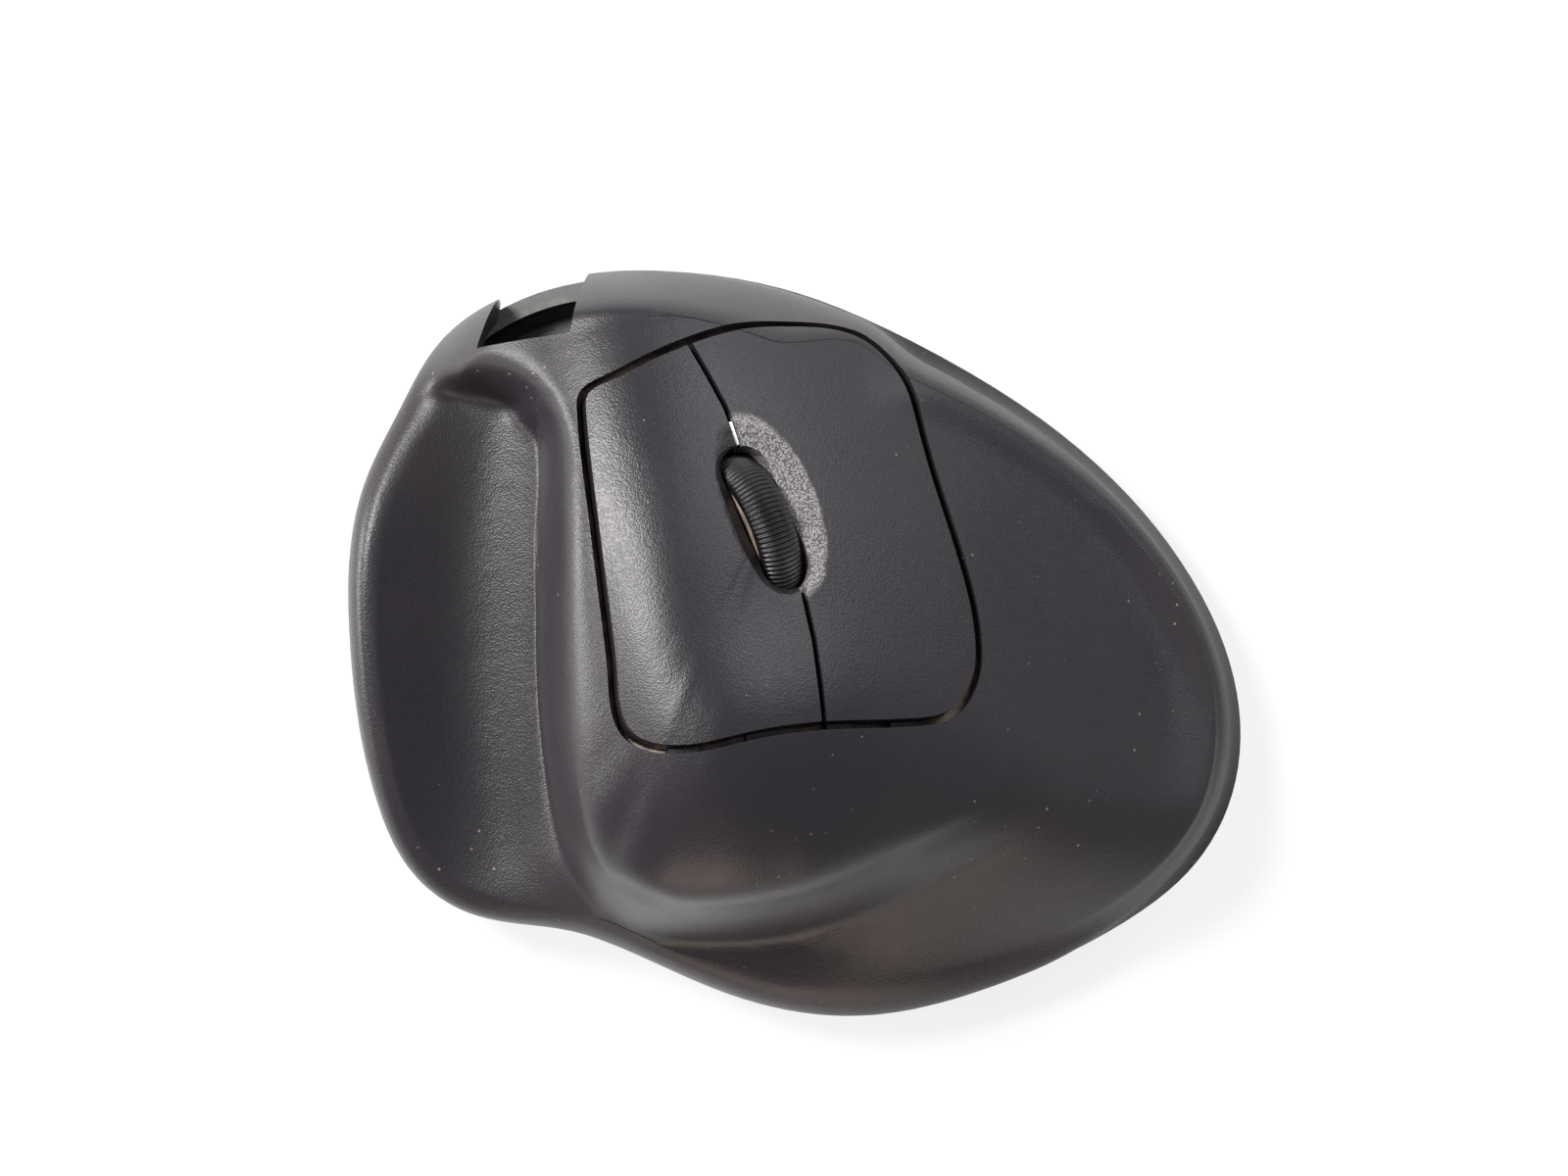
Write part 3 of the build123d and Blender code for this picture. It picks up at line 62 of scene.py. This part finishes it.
camera = bpy.data.objects.new("camera", bpy.data.cameras.new("camera"))
bpy.context.scene.collection.objects.link(camera)
camera.data.sensor_width = SENSOR
camera.data.lens = SENSOR * CAMERA_HEIGHT * PIXELS_PER_METRE / PIXELS_WIDE
camera.location = (*CAMERA_SPOT, CAMERA_HEIGHT)
camera.data.clip_start, camera.data.clip_end = 0.01, 10
bpy.context.scene.camera = camera
bpy.context.scene.view_settings.view_transform = "Standard"
print("lens", round(camera.data.lens, 1), "mm")

# %% [markdown]
# ## Desk, sky and lamps
# A pale desk and a pale sky surround the black shell. The eye, and whatever mirrors or lets light through, sees
# both as white, but they light the object at a plain level: the Light Path node tells these rays from the rest.

# %% World
SKY = (0.80, 0.82, 0.85)
SKY_LEVEL = 0.28
MIRRORED = 0.46  # how much of the white surroundings gloss shows, as in a room with a dark ceiling


def seen_as_white(tree):
    """A value that is 1 for rays from the camera and through glass, and MIRRORED for those from gloss."""
    path = tree.nodes.new("ShaderNodeLightPath")
    gloss = tree.nodes.new("ShaderNodeMath")
    gloss.operation = "MULTIPLY"
    gloss.inputs[1].default_value = MIRRORED
    tree.links.new(path.outputs["Is Glossy Ray"], gloss.inputs[0])
    seen = gloss.outputs[0]
    for ray in ("Is Camera Ray", "Is Transmission Ray"):
        most = tree.nodes.new("ShaderNodeMath")
        most.operation = "MAXIMUM"
        tree.links.new(path.outputs[ray], most.inputs[0])
        tree.links.new(seen, most.inputs[1])
        seen = most.outputs[0]
    return seen


world = bpy.data.worlds.new("studio")
bpy.context.scene.world = world
world.use_nodes = True
tree = world.node_tree
sky = tree.nodes["Background"]
sky.inputs["Color"].default_value = (*SKY, 1)
sky.inputs["Strength"].default_value = SKY_LEVEL
white = tree.nodes.new("ShaderNodeBackground")
white.inputs["Color"].default_value = (1, 1, 1, 1)
white.inputs["Strength"].default_value = 1.0
mixed = tree.nodes.new("ShaderNodeMixShader")
tree.links.new(seen_as_white(tree), mixed.inputs[0])
tree.links.new(sky.outputs[0], mixed.inputs[1])
tree.links.new(white.outputs[0], mixed.inputs[2])
tree.links.new(mixed.outputs[0], tree.nodes["World Output"].inputs["Surface"])

# %% Desk
DESK_HALF = 1.2
DESK_TONE = 0.78
DESK_ROUGH = 0.8
DESK_WHITE = 0.82  # the share of plain white in what the eye sees of the desk

desk_mesh = bpy.data.meshes.new("desk")
bm = bmesh.new()
bmesh.ops.create_grid(bm, x_segments=1, y_segments=1, size=DESK_HALF)
bm.to_mesh(desk_mesh)
bm.free()
desk = bpy.data.objects.new("desk", desk_mesh)
bpy.context.scene.collection.objects.link(desk)
paper = bpy.data.materials.new("pale_desk")
paper.use_nodes = True
tree = paper.node_tree
surface = tree.nodes["Principled BSDF"]
surface.inputs["Base Color"].default_value = (DESK_TONE, DESK_TONE, DESK_TONE, 1)
surface.inputs["Roughness"].default_value = DESK_ROUGH
glow = tree.nodes.new("ShaderNodeEmission")
glow.inputs["Strength"].default_value = 1.0
share = tree.nodes.new("ShaderNodeMath")
share.operation = "MULTIPLY"
share.inputs[1].default_value = DESK_WHITE
mixed = tree.nodes.new("ShaderNodeMixShader")
tree.links.new(seen_as_white(tree), share.inputs[0])
tree.links.new(share.outputs[0], mixed.inputs[0])
tree.links.new(surface.outputs[0], mixed.inputs[1])
tree.links.new(glow.outputs[0], mixed.inputs[2])
tree.links.new(mixed.outputs[0], tree.nodes["Material Output"].inputs["Surface"])
desk.data.materials.append(paper)

# %% [markdown]
# ## Lamps
# One small bright lamp stands over the thumb side, well to the front: it makes the wide grained highlight on
# the left button and passes over the thumb rest. A low one at the left carries the highlight down the wall beside
# the button, two in front brighten the finger ends and the front face, and a warm one behind browns the heel.

# %% Lamps
LAMPS = {
    # name: (place, aimed at, size, watts, colour)
    "key": ((-0.41, 0.295, 0.62), (-0.02, 0.01, 0.05), 0.22, 12.0, (1.0, 0.98, 0.95)),
    "thumb_side": ((-0.85, 0.10, 0.16), (-0.03, 0.01, 0.045), 0.34, 9.0, (1.0, 0.98, 0.95)),
    "fingers": ((0.42, 0.50, 0.42), (0.0, 0.03, 0.04), 0.34, 2.6, (0.98, 0.98, 1.0)),
    "front": ((-0.10, 0.80, 0.14), (-0.02, 0.03, 0.02), 0.40, 0.3, (0.97, 0.98, 1.0)),
    "heel": ((0.0, -0.72, 0.22), (0.0, -0.05, 0.02), 0.42, 2.1, (1.0, 0.78, 0.62)),
}


def lamp(name, place, aim, size, watts, colour):
    data = bpy.data.lights.new(name, "AREA")
    data.shape, data.size, data.energy, data.color = "SQUARE", size, watts, colour
    made = bpy.data.objects.new(name, data)
    bpy.context.scene.collection.objects.link(made)
    made.location = place
    made.rotation_euler = (Vector(aim) - Vector(place)).to_track_quat("-Z", "Y").to_euler()


for name, settings in LAMPS.items():
    lamp(name, *settings)
print(len(LAMPS), "lamps,", sum(s[3] for s in LAMPS.values()), "watts")

# %% [markdown]
# ## Effects that finishes share
# Skin-like pebbles, the spark texture of a mould, dust and fine scratches appear in more than one finish. Each
# is a shader node group with named sockets, built once here and placed in each material with its own values.


# %% Group helpers
def group(name, inputs, outputs):
    """A new shader node group and its input and output nodes. inputs: name -> default, or None for a vector."""
    made = bpy.data.node_groups.new(name, "ShaderNodeTree")
    for label, value in inputs.items():
        kind = "NodeSocketVector" if value is None else "NodeSocketFloat"
        socket = made.interface.new_socket(label, in_out="INPUT", socket_type=kind)
        if value is not None:
            socket.default_value = value
    for label in outputs:
        made.interface.new_socket(label, in_out="OUTPUT", socket_type="NodeSocketFloat")
    return made, made.nodes.new("NodeGroupInput"), made.nodes.new("NodeGroupOutput")


def node(tree, kind, links=(), **values):
    """A node with values on it; links pairs an input's name or number with an output socket or a number."""
    made = tree.nodes.new("ShaderNode" + kind)
    for key, value in values.items():
        setattr(made, key, value)
    for key, value in dict(links).items():
        if isinstance(value, bpy.types.NodeSocket):
            tree.links.new(value, made.inputs[key])
        else:
            made.inputs[key].default_value = value
    return made


def math_node(tree, operation, a, b=0.0, clamp=False):
    return node(tree, "Math", {0: a, 1: b}, operation=operation, use_clamp=clamp).outputs[0]


def ranged(tree, value, low, high, to_low=0.0, to_high=1.0, smooth=True):
    """value between low and high, spread over to_low to to_high."""
    links = {"Value": value, "From Min": low, "From Max": high, "To Min": to_low, "To Max": to_high}
    kind = "SMOOTHSTEP" if smooth else "LINEAR"
    return node(tree, "MapRange", links, interpolation_type=kind).outputs["Result"]


# %% Leather grain
def build_leather_grain():
    tree, given, out = group("leather_grain", {"Vector": None, "Scale": 1250.0}, ["Height", "Pebble"])
    place, scale = given.outputs["Vector"], given.outputs["Scale"]
    wander = node(tree, "TexNoise", {"Vector": place, "Scale": 300.0, "Detail": 2.0})
    shifted = node(tree, "VectorMath", {0: wander.outputs["Color"], 1: (0.5, 0.5, 0.5)}, operation="SUBTRACT")
    small = node(tree, "VectorMath", {0: shifted.outputs[0], "Scale": 0.0011}, operation="SCALE")
    bent = node(tree, "VectorMath", {0: place, 1: small.outputs[0]}, operation="ADD")
    cells = node(tree, "TexVoronoi", {"Vector": bent.outputs[0], "Scale": scale}, feature="SMOOTH_F1")
    cells.inputs["Smoothness"].default_value = 0.35
    domed = ranged(tree, cells.outputs["Distance"], 0.15, 0.75, 1.0, 0.0)
    half = math_node(tree, "MULTIPLY", scale, 0.47)
    broad = node(tree, "TexVoronoi", {"Vector": bent.outputs[0], "Scale": half}, feature="SMOOTH_F1")
    folds = ranged(tree, broad.outputs["Distance"], 0.1, 0.9, 1.0, 0.0)
    fine = node(tree, "TexNoise", {"Vector": place, "Scale": 5200.0, "Detail": 2.0})
    height = math_node(tree, "MULTIPLY", domed, 0.62)
    height = math_node(tree, "ADD", height, math_node(tree, "MULTIPLY", folds, 0.28))
    height = math_node(tree, "ADD", height, math_node(tree, "MULTIPLY", fine.outputs["Fac"], 0.16))
    tree.links.new(height, out.inputs["Height"])
    tree.links.new(domed, out.inputs["Pebble"])
    return tree


# %% Spark texture of a mould
def build_mould_spark():
    tree, given, out = group("mould_spark", {"Vector": None, "Scale": 4200.0}, ["Height"])
    links = {"Vector": given.outputs["Vector"], "Scale": given.outputs["Scale"], "Detail": 4.0, "Roughness": 0.65}
    fine = node(tree, "TexNoise", links)
    tree.links.new(ranged(tree, fine.outputs["Fac"], 0.3, 0.75), out.inputs["Height"])
    return tree


# %% Handling: slow patches, dust specks and scratches
def build_handling():
    names = ["Patch", "Dust", "Scratch"]
    tree, given, out = group("handling", {"Vector": None, "Patch Scale": 28.0, "Speck Scale": 420.0}, names)
    place = given.outputs["Vector"]
    slow = node(tree, "TexNoise", {"Vector": place, "Scale": given.outputs["Patch Scale"], "Detail": 3.0})
    tree.links.new(ranged(tree, slow.outputs["Fac"], 0.32, 0.68), out.inputs["Patch"])
    specks = node(tree, "TexVoronoi", {"Vector": place, "Scale": given.outputs["Speck Scale"]}, feature="F1")
    specks.inputs["Randomness"].default_value = 1.0
    dot = ranged(tree, specks.outputs["Distance"], 0.05, 0.11, 1.0, 0.0)
    gather = node(tree, "TexNoise", {"Vector": place, "Scale": 90.0, "Detail": 2.0})
    where = ranged(tree, gather.outputs["Fac"], 0.52, 0.66)
    tree.links.new(math_node(tree, "MULTIPLY", dot, where), out.inputs["Dust"])
    streak = None
    for turn, stretch, offset in ((0.5, 38.0, 0.0), (-1.1, 30.0, 0.31), (1.45, 44.0, 0.67)):
        turned = node(tree, "Mapping", {"Vector": place, "Rotation": (0.0, 0.0, turn)})
        turned.inputs["Location"].default_value = (offset, offset * 0.7, offset * 0.4)
        turned.inputs["Scale"].default_value = (1.0, stretch, 1.0)
        lines = node(tree, "TexVoronoi", {"Vector": turned.outputs[0], "Scale": 62.0}, feature="F1")
        line = ranged(tree, lines.outputs["Distance"], 0.012, 0.035, 1.0, 0.0)
        streak = line if streak is None else math_node(tree, "MAXIMUM", streak, line)
    tree.links.new(streak, out.inputs["Scratch"])
    return tree


# %% Edge wear
def build_edge_wear():
    tree, given, out = group("edge_wear", {"Vector": None, "Start": 0.52, "End": 0.60}, ["Wear"])
    shape = node(tree, "NewGeometry")
    spots = node(tree, "TexNoise", {"Vector": given.outputs["Vector"], "Scale": 600.0, "Detail": 3.0})
    links = {"Value": shape.outputs["Pointiness"], "From Min": given.outputs["Start"],
             "From Max": given.outputs["End"]}
    edge = node(tree, "MapRange", links).outputs["Result"]
    broken = ranged(tree, spots.outputs["Fac"], 0.35, 0.65, 0.25, 1.0)
    tree.links.new(math_node(tree, "MULTIPLY", edge, broken, clamp=True), out.inputs["Wear"])
    return tree


leather_grain = build_leather_grain()
mould_spark = build_mould_spark()
handling = build_handling()
edge_wear = build_edge_wear()
print("groups:", ", ".join(g.name for g in bpy.data.node_groups))

# %% [markdown]
# ## From groups to finishes
# One function wires most of the finishes, because each is the same idea: a dark and a light tone mixed by slow
# patches, dust and wear laid over them, and a bump. What differs is given as numbers, so the eye can compare
# them. The shader itself and every value that is the same all over stay on the Principled node.


# %% A finish from its numbers
def place_group(tree, made, place, **values):
    box = tree.nodes.new("ShaderNodeGroup")
    box.node_tree = made
    tree.links.new(place, box.inputs["Vector"])
    for label, value in values.items():
        box.inputs[label.replace("_", " ")].default_value = value
    return box


def mixed_colour(tree, share, a, b):
    """b over a by share; a and b are colours or sockets."""
    made = tree.nodes.new("ShaderNodeMix")
    made.data_type = "RGBA"
    for socket, value in ((made.inputs[0], share), (made.inputs[6], a), (made.inputs[7], b)):
        if isinstance(value, bpy.types.NodeSocket):
            tree.links.new(value, socket)
        else:
            socket.default_value = (*value, 1) if isinstance(value, tuple) else value
    return made.outputs[2]


def finish(name, dark, light, rough, grain="spark", grain_scale=4200.0, depth=0.00001, patch_scale=28.0,
           dust=0.0, dust_colour=(0.28, 0.26, 0.23), scratch=0.0, wear=0.0, wear_colour=(0.16, 0.15, 0.14),
           speck_scale=420.0, **sockets):
    """A material: dark and light are linear colours, rough a (low, high) pair, depth the bump in metres."""
    made = bpy.data.materials.new(name)
    made.use_nodes = True
    tree = made.node_tree
    shader = tree.nodes["Principled BSDF"]
    place = tree.nodes.new("ShaderNodeTexCoord").outputs["Object"]
    life = place_group(tree, handling, place, Patch_Scale=patch_scale, Speck_Scale=speck_scale)
    colour = mixed_colour(tree, life.outputs["Patch"], dark, light)
    roughness = ranged(tree, life.outputs["Patch"], 0.0, 1.0, *rough, smooth=False)
    if grain == "leather":
        texture = place_group(tree, leather_grain, place, Scale=grain_scale)
        # Painted shade: the valleys between the pebbles are darkened towards half the tone.
        pebble_valley_shade = ranged(tree, texture.outputs["Pebble"], 0.0, 0.6, 0.72, 1.0)
        colour = mixed_colour(tree, pebble_valley_shade, tuple(c * 0.55 for c in dark), colour)
    else:
        texture = place_group(tree, mould_spark, place, Scale=grain_scale)
    if dust:
        share = math_node(tree, "MULTIPLY", life.outputs["Dust"], dust, clamp=True)
        colour = mixed_colour(tree, share, colour, dust_colour)
        roughness = math_node(tree, "ADD", roughness, math_node(tree, "MULTIPLY", share, 0.3))
    if scratch:
        share = math_node(tree, "MULTIPLY", life.outputs["Scratch"], scratch, clamp=True)
        colour = mixed_colour(tree, share, colour, wear_colour)
    if wear:
        edge = place_group(tree, edge_wear, place)
        share = math_node(tree, "MULTIPLY", edge.outputs["Wear"], wear, clamp=True)
        colour = mixed_colour(tree, share, colour, wear_colour)
        roughness = math_node(tree, "SUBTRACT", roughness, math_node(tree, "MULTIPLY", share, 0.12))
    bump = node(tree, "Bump", {"Height": texture.outputs["Height"], "Strength": 1.0, "Distance": depth})
    tree.links.new(colour, shader.inputs["Base Color"])
    tree.links.new(roughness, shader.inputs["Roughness"])
    tree.links.new(bump.outputs["Normal"], shader.inputs["Normal"])
    for label, value in sockets.items():
        shader.inputs[label.replace("_", " ")].default_value = value
    return made


# %% [markdown]
# ## The finishes
# The shell is soft-touch black over a fine leather grain: dark, slightly blue, with pebbles that catch the lamp
# one by one and painted shade in the valleys between them. The frame under the buttons is plain moulding full of
# brown dust, with its tones raised far above black as painted light in the shaded gaps. The wheel is matt rubber.

# %% Moulded parts
SOFT_BLACK = dict(
    dark=(0.0115, 0.0098, 0.0135), light=(0.0165, 0.0140, 0.0178), rough=(0.35, 0.44), grain="leather",
    grain_scale=3500.0, depth=0.000027, dust=0.5, scratch=0.10, patch_scale=24.0, wear_colour=(0.10, 0.10, 0.10),
    Specular_IOR_Level=0.3)

FINISHES = {
    "soft_black": finish("soft_black", **SOFT_BLACK),
    "casing_black": finish(
        "casing_black", (0.055, 0.056, 0.056), (0.075, 0.076, 0.074), (0.46, 0.60), grain_scale=3600.0,
        depth=0.000014, dust=0.4, scratch=0.12, wear=0.5),
    # Brown dust, with both tones and the dust raised far above a black moulding as painted light for the shaded gaps
    # round the buttons.
    "frame_black": finish(
        "frame_black", (0.060, 0.047, 0.040), (0.300, 0.235, 0.190), (0.5, 0.75), grain_scale=3000.0,
        depth=0.00002, patch_scale=230.0, dust=1.0, dust_colour=(0.42, 0.34, 0.27), speck_scale=900.0),
    "glide": finish(
        "glide", (0.07, 0.07, 0.075), (0.10, 0.10, 0.105), (0.22, 0.34), grain_scale=2600.0, depth=0.000006,
        dust=0.3, scratch=0.5, patch_scale=60.0),
    "switch_case": finish(
        "switch_case", (0.030, 0.030, 0.034), (0.048, 0.048, 0.052), (0.30, 0.42), grain_scale=5200.0,
        depth=0.000008, dust=0.2),
}

# %% [markdown]
# ## The dish beside the wheel, with painted light
# Both buttons are scooped out round the wheel. The right side of the scoop has a grey painted highlight on its
# grain, and the left one a near-black painted shade. It is an ellipse turned with the wheel's slot, which tints
# the grain with this painted light and leans the normal inwards.

# %% Dish with painted light
DISH_SPOT = (-0.0044, 0.0193)
DISH_TURN = math.atan2(-0.931, 0.365)
DISH_LONG = 0.0139
DISH_DEPTH = 0.0011
DISH_RAGGED = 0.22  # how much slow noise moves the edge


def dish_painted_light(name, wide, painted_tone):
    """The shell's finish with the dish in it: wide is the dish's half width, and the last argument the colour of the
    painted light laid on its grain.
    """
    made = finish(name, **SOFT_BLACK)
    tree = made.node_tree
    shader = tree.nodes["Principled BSDF"]
    place = node(tree, "TexCoord").outputs["Object"]
    along, across = math.cos(DISH_TURN), math.sin(DISH_TURN)
    middle = (*DISH_SPOT, 0.0)
    arm = node(tree, "VectorMath", {0: place, 1: middle}, operation="SUBTRACT").outputs[0]
    far = None
    for axis, reach in (((along, across, 0.0), DISH_LONG), ((-across, along, 0.0), wide)):
        part = node(tree, "VectorMath", {0: arm, 1: axis}, operation="DOT_PRODUCT").outputs["Value"]
        part = math_node(tree, "POWER", math_node(tree, "DIVIDE", part, reach), 2.0)
        far = part if far is None else math_node(tree, "ADD", far, part)
    uneven = node(tree, "TexNoise", {"Vector": place, "Scale": 420.0, "Detail": 3.0}).outputs["Fac"]
    far = math_node(tree, "ADD", far, math_node(tree, "MULTIPLY", uneven, DISH_RAGGED))
    inside = ranged(tree, far, 0.98, 1.16, 1.0, 0.0)
    pebbles = place_group(tree, leather_grain, place, Scale=SOFT_BLACK["grain_scale"]).outputs["Pebble"]
    grains = ranged(tree, pebbles, 0.15, 0.75, 0.22, 1.0)
    share = math_node(tree, "MULTIPLY", inside, grains, clamp=True)
    # Painted light: inside the dish the grain takes the given tone, a painted highlight on the right button and
    # painted shade on the left.
    base = shader.inputs["Base Color"].links[0].from_socket
    tree.links.new(mixed_colour(tree, share, base, painted_tone), shader.inputs["Base Color"])
    grain = shader.inputs["Normal"].links[0].from_node
    hollow = ranged(tree, far, 0.25, 1.1, 0.0, 1.0)
    lean = node(tree, "Bump", {"Height": hollow, "Strength": 1.0, "Distance": DISH_DEPTH})
    tree.links.new(lean.outputs["Normal"], grain.inputs["Normal"])
    return made


# The right dish gets a grey painted highlight, the left one a near-black painted shade.
DISHED = {
    "right_button": dish_painted_light("soft_black_painted_highlight", 0.0070, (0.24, 0.226, 0.228)),
    "left_button": dish_painted_light("soft_black_painted_shade", 0.0061, (0.004, 0.0035, 0.0042)),
}

# %% Rubber, foam and sheath
FINISHES["tyre_rubber"] = finish(
    "tyre_rubber", (0.004, 0.004, 0.0045), (0.008, 0.008, 0.008), (0.26, 0.38), grain_scale=6500.0,
    depth=0.000012, patch_scale=160.0, dust=0.4, dust_colour=(0.16, 0.15, 0.14), speck_scale=1500.0,
    Specular_IOR_Level=0.35)
FINISHES["foam"] = finish(
    "foam", (0.045, 0.045, 0.046), (0.10, 0.10, 0.10), (0.85, 0.95), grain_scale=1500.0, depth=0.00012,
    patch_scale=500.0)
FINISHES["cable_sheath"] = finish(
    "cable_sheath", (0.030, 0.030, 0.031), (0.048, 0.048, 0.050), (0.48, 0.6), grain_scale=3500.0,
    depth=0.000012, patch_scale=120.0, dust=0.3)

# %% Metal, boards and clear pieces
FINISHES["steel"] = finish(
    "steel", (0.50, 0.50, 0.51), (0.66, 0.66, 0.68), (0.24, 0.38), grain_scale=2400.0, depth=0.000006,
    patch_scale=300.0, dust=0.2, scratch=0.2, wear_colour=(0.8, 0.8, 0.8), Metallic=1.0)
FINISHES["plunger_white"] = finish(
    "plunger_white", (0.66, 0.65, 0.62), (0.78, 0.77, 0.74), (0.32, 0.45), grain_scale=4200.0,
    depth=0.000006, patch_scale=200.0)
FINISHES["light_white"] = finish(
    "light_white", (0.74, 0.75, 0.76), (0.86, 0.87, 0.88), (0.30, 0.42), grain_scale=5200.0,
    depth=0.000005, patch_scale=300.0, Subsurface_Weight=0.25, Subsurface_Scale=0.001)
FINISHES["battery_wrap"] = finish(
    "battery_wrap", (0.36, 0.37, 0.40), (0.46, 0.47, 0.50), (0.18, 0.30), grain_scale=700.0,
    depth=0.00005, patch_scale=90.0, dust=0.2, Coat_Weight=0.3)
FINISHES["clear_lens"] = finish(
    "clear_lens", (0.86, 0.91, 0.93), (0.92, 0.96, 0.97), (0.03, 0.08), grain_scale=900.0,
    depth=0.000002, patch_scale=200.0, Transmission_Weight=0.9, IOR=1.49)

# %% [markdown]
# ## Circuit boards
# Solder mask is a thin glossy lacquer over copper tracks that stand a little proud. A brick pattern of thin
# lines, broken up by noise, is enough for tracks this small, and a dot pattern gives the plated holes.


# %% Circuit boards
def board_finish(name, lacquer, track, hole):
    made = bpy.data.materials.new(name)
    made.use_nodes = True
    tree = made.node_tree
    shader = tree.nodes["Principled BSDF"]
    place = tree.nodes.new("ShaderNodeTexCoord").outputs["Object"]
    tracks = node(tree, "TexBrick", {"Vector": place, "Scale": 260.0, "Mortar Size": 0.06, "Mortar Smooth": 0.4})
    tracks.offset, tracks.squash = 0.37, 0.8
    broken = node(tree, "TexNoise", {"Vector": place, "Scale": 240.0, "Detail": 1.0})
    line = math_node(tree, "MULTIPLY", tracks.outputs["Fac"], ranged(tree, broken.outputs["Fac"], 0.42, 0.52))
    holes = node(tree, "TexVoronoi", {"Vector": place, "Scale": 330.0, "Randomness": 0.75}, feature="F1")
    pad = ranged(tree, holes.outputs["Distance"], 0.12, 0.16, 1.0, 0.0)
    life = place_group(tree, handling, place, Patch_Scale=70.0, Speck_Scale=700.0)
    colour = mixed_colour(tree, line, lacquer, track)
    colour = mixed_colour(tree, pad, colour, hole)
    dusty = math_node(tree, "MULTIPLY", life.outputs["Dust"], 0.5)
    colour = mixed_colour(tree, dusty, colour, (0.3, 0.27, 0.22))
    tree.links.new(colour, shader.inputs["Base Color"])
    tree.links.new(math_node(tree, "MULTIPLY", pad, 0.9), shader.inputs["Metallic"])
    tree.links.new(ranged(tree, life.outputs["Patch"], 0.0, 1.0, 0.22, 0.36), shader.inputs["Roughness"])
    height = math_node(tree, "ADD", line, math_node(tree, "MULTIPLY", pad, 0.5))
    bump = node(tree, "Bump", {"Height": height, "Strength": 1.0, "Distance": 0.00002})
    tree.links.new(bump.outputs["Normal"], shader.inputs["Normal"])
    return made


FINISHES["circuit_board"] = board_finish("circuit_board", (0.012, 0.085, 0.035), (0.03, 0.15, 0.06), (0.6, 0.5, 0.3))
FINISHES["white_board"] = board_finish("white_board", (0.66, 0.65, 0.61), (0.78, 0.77, 0.73), (0.6, 0.58, 0.5))
print(len(FINISHES), "finishes")

# %% [markdown]
# ## Dressing the solids
# Each node came with a material that carries its slot's name, so the finish is found by that name and put in
# the object's own material slot. The mesh and its place are left as they are.

# %% Dress every node
for name, piece in frame["nodes"].items():
    slot = piece.data.materials[0].name.split(".")[0]
    piece.data.materials[0] = FINISHES[slot]
# The dish materials carry painted light: a painted highlight on the right button, painted shade on the left.
for name, painted_dish in DISHED.items():
    frame["nodes"][name].data.materials[0] = painted_dish
print("dressed", len(frame["nodes"]), "nodes")

# %% [markdown]
# ## The ribbed tyre
# The wheel's rubber tyre has fine ribs across its tread for grip. The solid is a plain crowned ring, so a new
# ring stands for it: a rounded section is spun round the axle, and its tread is pushed in between the ribs.
# Real ribs, not a bump, because their ends show along the edge of the crown.

# %% Spin the tyre
joints = {joint["name"]: joint for joint in frame["joints"]}
AXLE_SPOT = Vector(joints["wheel_spin"]["pos_m"])
AXLE = Vector(joints["wheel_spin"]["axis"]).normalized()
UP = -Vector(joints["wheel_press"]["axis"]).normalized()
TYRE_RADIUS = 0.012
TYRE_WALL = 0.0024
TYRE_HALF = 0.003
CROWN_DROP = 0.0013
RIBS = 100
RINGS_PER_RIB = 6
RIB_DEPTH = 0.00040
TREAD_POINTS = 13
CORNER = 0.00035


def tread_radius(y):
    """The crown's radius at a distance from the wheel's middle."""
    big = (TYRE_HALF**2 + CROWN_DROP**2) / (2 * CROWN_DROP)
    return TYRE_RADIUS - big + math.sqrt(big * big - y * y)


def spun_tyre():
    bm = bmesh.new()
    inner = TYRE_RADIUS - TYRE_WALL
    reach = TYRE_HALF - CORNER
    section = [(-TYRE_HALF, inner), (-TYRE_HALF, tread_radius(TYRE_HALF) - CORNER)]
    for i in range(TREAD_POINTS):
        y = -reach + 2 * reach * i / (TREAD_POINTS - 1)
        section.append((y, tread_radius(y)))
    section += [(TYRE_HALF, tread_radius(TYRE_HALF) - CORNER), (TYRE_HALF, inner)]
    corners = [bm.verts.new(AXLE_SPOT + AXLE * y + UP * r) for y, r in section]
    edges = [bm.edges.new((a, b)) for a, b in zip(corners, corners[1:] + corners[:1])]
    bmesh.ops.spin(
        bm, geom=corners + edges, cent=AXLE_SPOT, axis=AXLE, angle=2 * math.pi,
        steps=RIBS * RINGS_PER_RIB, use_merge=True, use_duplicate=False,
    )
    bmesh.ops.remove_doubles(bm, verts=bm.verts, dist=1e-6)
    return bm


def rib_wave(turn):
    """0 on a rib's top and 1 in the groove beside it."""
    return 0.5 - 0.5 * math.cos(turn * RIBS)


def ribbed(bm):
    side = AXLE.cross(UP)
    for v in bm.verts:
        arm = v.co - AXLE_SPOT
        y = arm.dot(AXLE)
        out = arm - AXLE * y
        on_tread = min(max((TYRE_HALF - abs(y)) / CORNER, 0.0), 1.0)
        under_tread = out.length < TYRE_RADIUS - CROWN_DROP - 3 * CORNER
        if under_tread or on_tread == 0:
            continue
        turn = math.atan2(out.dot(side), out.dot(UP))
        v.co -= out.normalized() * RIB_DEPTH * rib_wave(turn) * on_tread
    bmesh.ops.recalc_face_normals(bm, faces=bm.faces)


def finished_piece(name, bm, material, body):
    """The bmesh as a piece of the object that rides on a body."""
    mesh = bpy.data.meshes.new(name)
    bm.to_mesh(mesh)
    bm.free()
    mesh.polygons.foreach_set("use_smooth", [True] * len(mesh.polygons))
    mesh.materials.append(FINISHES[material])
    made = bpy.data.objects.new(name, mesh)
    bpy.context.scene.collection.objects.link(made)
    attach(made, body)
    print(name, len(mesh.polygons), "faces")
    return made


tyre_mesh = spun_tyre()
ribbed(tyre_mesh)
tyre = finished_piece("ribbed_tyre", tyre_mesh, "tyre_rubber", "wheel")
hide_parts("wheel_tyre")
